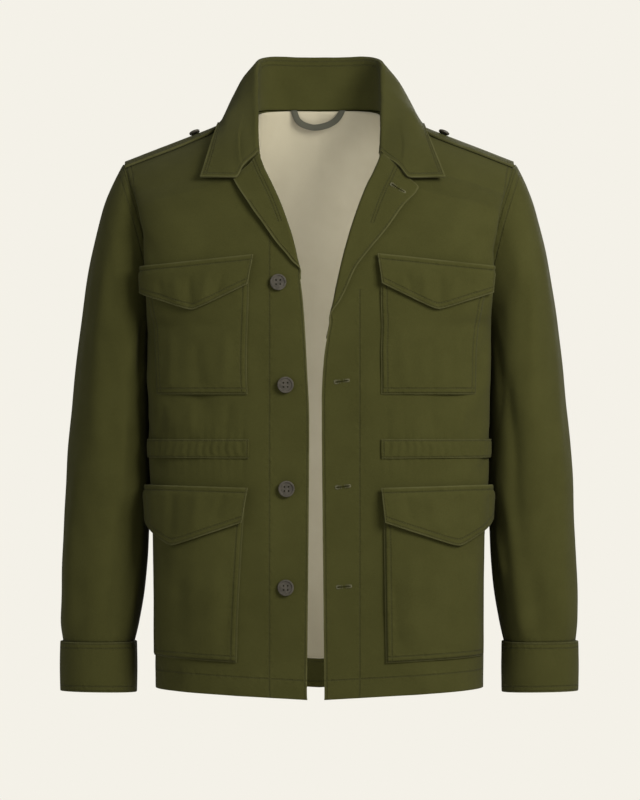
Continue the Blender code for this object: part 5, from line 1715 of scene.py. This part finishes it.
camera_data = bpy.data.cameras.new("camera")
camera_data.sensor_fit = "VERTICAL"
camera_data.sensor_height = SENSOR
camera_data.lens = SENSOR * CAMERA_DISTANCE / (PIXEL * FRAME_HEIGHT)
camera_data.clip_end = 50.0
camera = bpy.data.objects.new("camera", camera_data)
camera.location = to_frame(CAMERA_PLACE)
camera.rotation_euler = (math.pi / 2, 0.0, 0.0)
bpy.context.scene.collection.objects.link(camera)
bpy.context.scene.camera = camera


LIGHT_COLUMNS = ("name", "place", "target", "size", "power", "colour")
MIDDLE = (0.0, -0.12, -0.30)
LIGHTS = (
    ("key", (1.45, -1.75, 0.60), MIDDLE, (1.0, 1.0), 66.0, (1.0, 0.985, 0.95)),
    ("fill", (-2.4, -2.6, -0.1), MIDDLE, (2.0, 2.0), 20.0, (0.95, 0.98, 1.0)),
    ("top", (0.3, 0.2, 2.4), MIDDLE, (1.5, 1.5), 8.0, (1.0, 1.0, 0.98)),
    ("rear", (0.9, 2.7, 0.9), MIDDLE, (1.4, 1.4), 62.0, (1.0, 1.0, 1.0)),
    ("inside", (0.0, -0.135, -0.375), (0.0, 0.03, -0.375), (0.10, 0.62), 0.54, (1.0, 0.99, 0.97)),
    ("chest", (0.055, -0.045, -0.145), (0.055, 0.05, -0.145), (0.05, 0.18), 0.045, (1.0, 0.99, 0.97)),
    ("neck", (-0.012, -0.032, -0.010), (-0.012, 0.0, -0.006), (0.07, 0.012), 0.003, (1.0, 1.0, 1.0)),
)


def add_light(name, place, target, size, power, colour):
    data = bpy.data.lights.new(name, "AREA")
    data.shape = "RECTANGLE"
    data.size, data.size_y = size
    data.energy = power
    data.color = colour
    light = bpy.data.objects.new(name, data)
    light.location = place
    light.rotation_euler = (Vector(target) - Vector(place)).to_track_quat("-Z", "Y").to_euler()
    light.visible_camera = False
    bpy.context.scene.collection.objects.link(light)


for row in LIGHTS:
    add_light(**dict(zip(LIGHT_COLUMNS, row)))

BACKGROUND = (0.905, 0.880, 0.807, 1.0)  # what the camera sees behind
AROUND = (1.0, 0.98, 0.94, 1.0)  # what lights the jacket from all round
AROUND_STRENGTH = 0.375
FLOOR = (0.50, 0.485, 0.445, 1.0)
world = bpy.data.worlds.new("studio")
world.use_nodes = True
tree = world.node_tree
seen = tree.nodes["Background"]
seen.inputs["Color"].default_value = BACKGROUND
lit = tree.nodes.new("ShaderNodeBackground")
lit.inputs["Color"].default_value = AROUND
lit.inputs["Strength"].default_value = AROUND_STRENGTH
path = tree.nodes.new("ShaderNodeLightPath")
choose = tree.nodes.new("ShaderNodeMixShader")
tree.links.new(path.outputs["Is Camera Ray"], choose.inputs[0])
tree.links.new(lit.outputs[0], choose.inputs[1])
tree.links.new(seen.outputs[0], choose.inputs[2])
tree.links.new(choose.outputs[0], tree.nodes["World Output"].inputs[0])
bpy.context.scene.world = world
bpy.context.scene.view_settings.view_transform = "Standard"

FLOOR_HALF, FLOOR_HEIGHT = 1.6, -1.08  # in metres
floor_corners = [(x, y, FLOOR_HEIGHT) for x in (-FLOOR_HALF, FLOOR_HALF) for y in (-FLOOR_HALF, FLOOR_HALF)]
floor_mesh = bpy.data.meshes.new("floor")
floor_mesh.from_pydata(floor_corners, [], [(0, 2, 3, 1)])
floor = bpy.data.objects.new("floor", floor_mesh)
bpy.context.scene.collection.objects.link(floor)
floor_material = bpy.data.materials.new("floor")
floor_material.use_nodes = True
floor_shader = floor_material.node_tree.nodes["Principled BSDF"]
floor_shader.inputs["Base Color"].default_value = FLOOR
floor_shader.inputs["Roughness"].default_value = 0.9
floor_mesh.materials.append(floor_material)
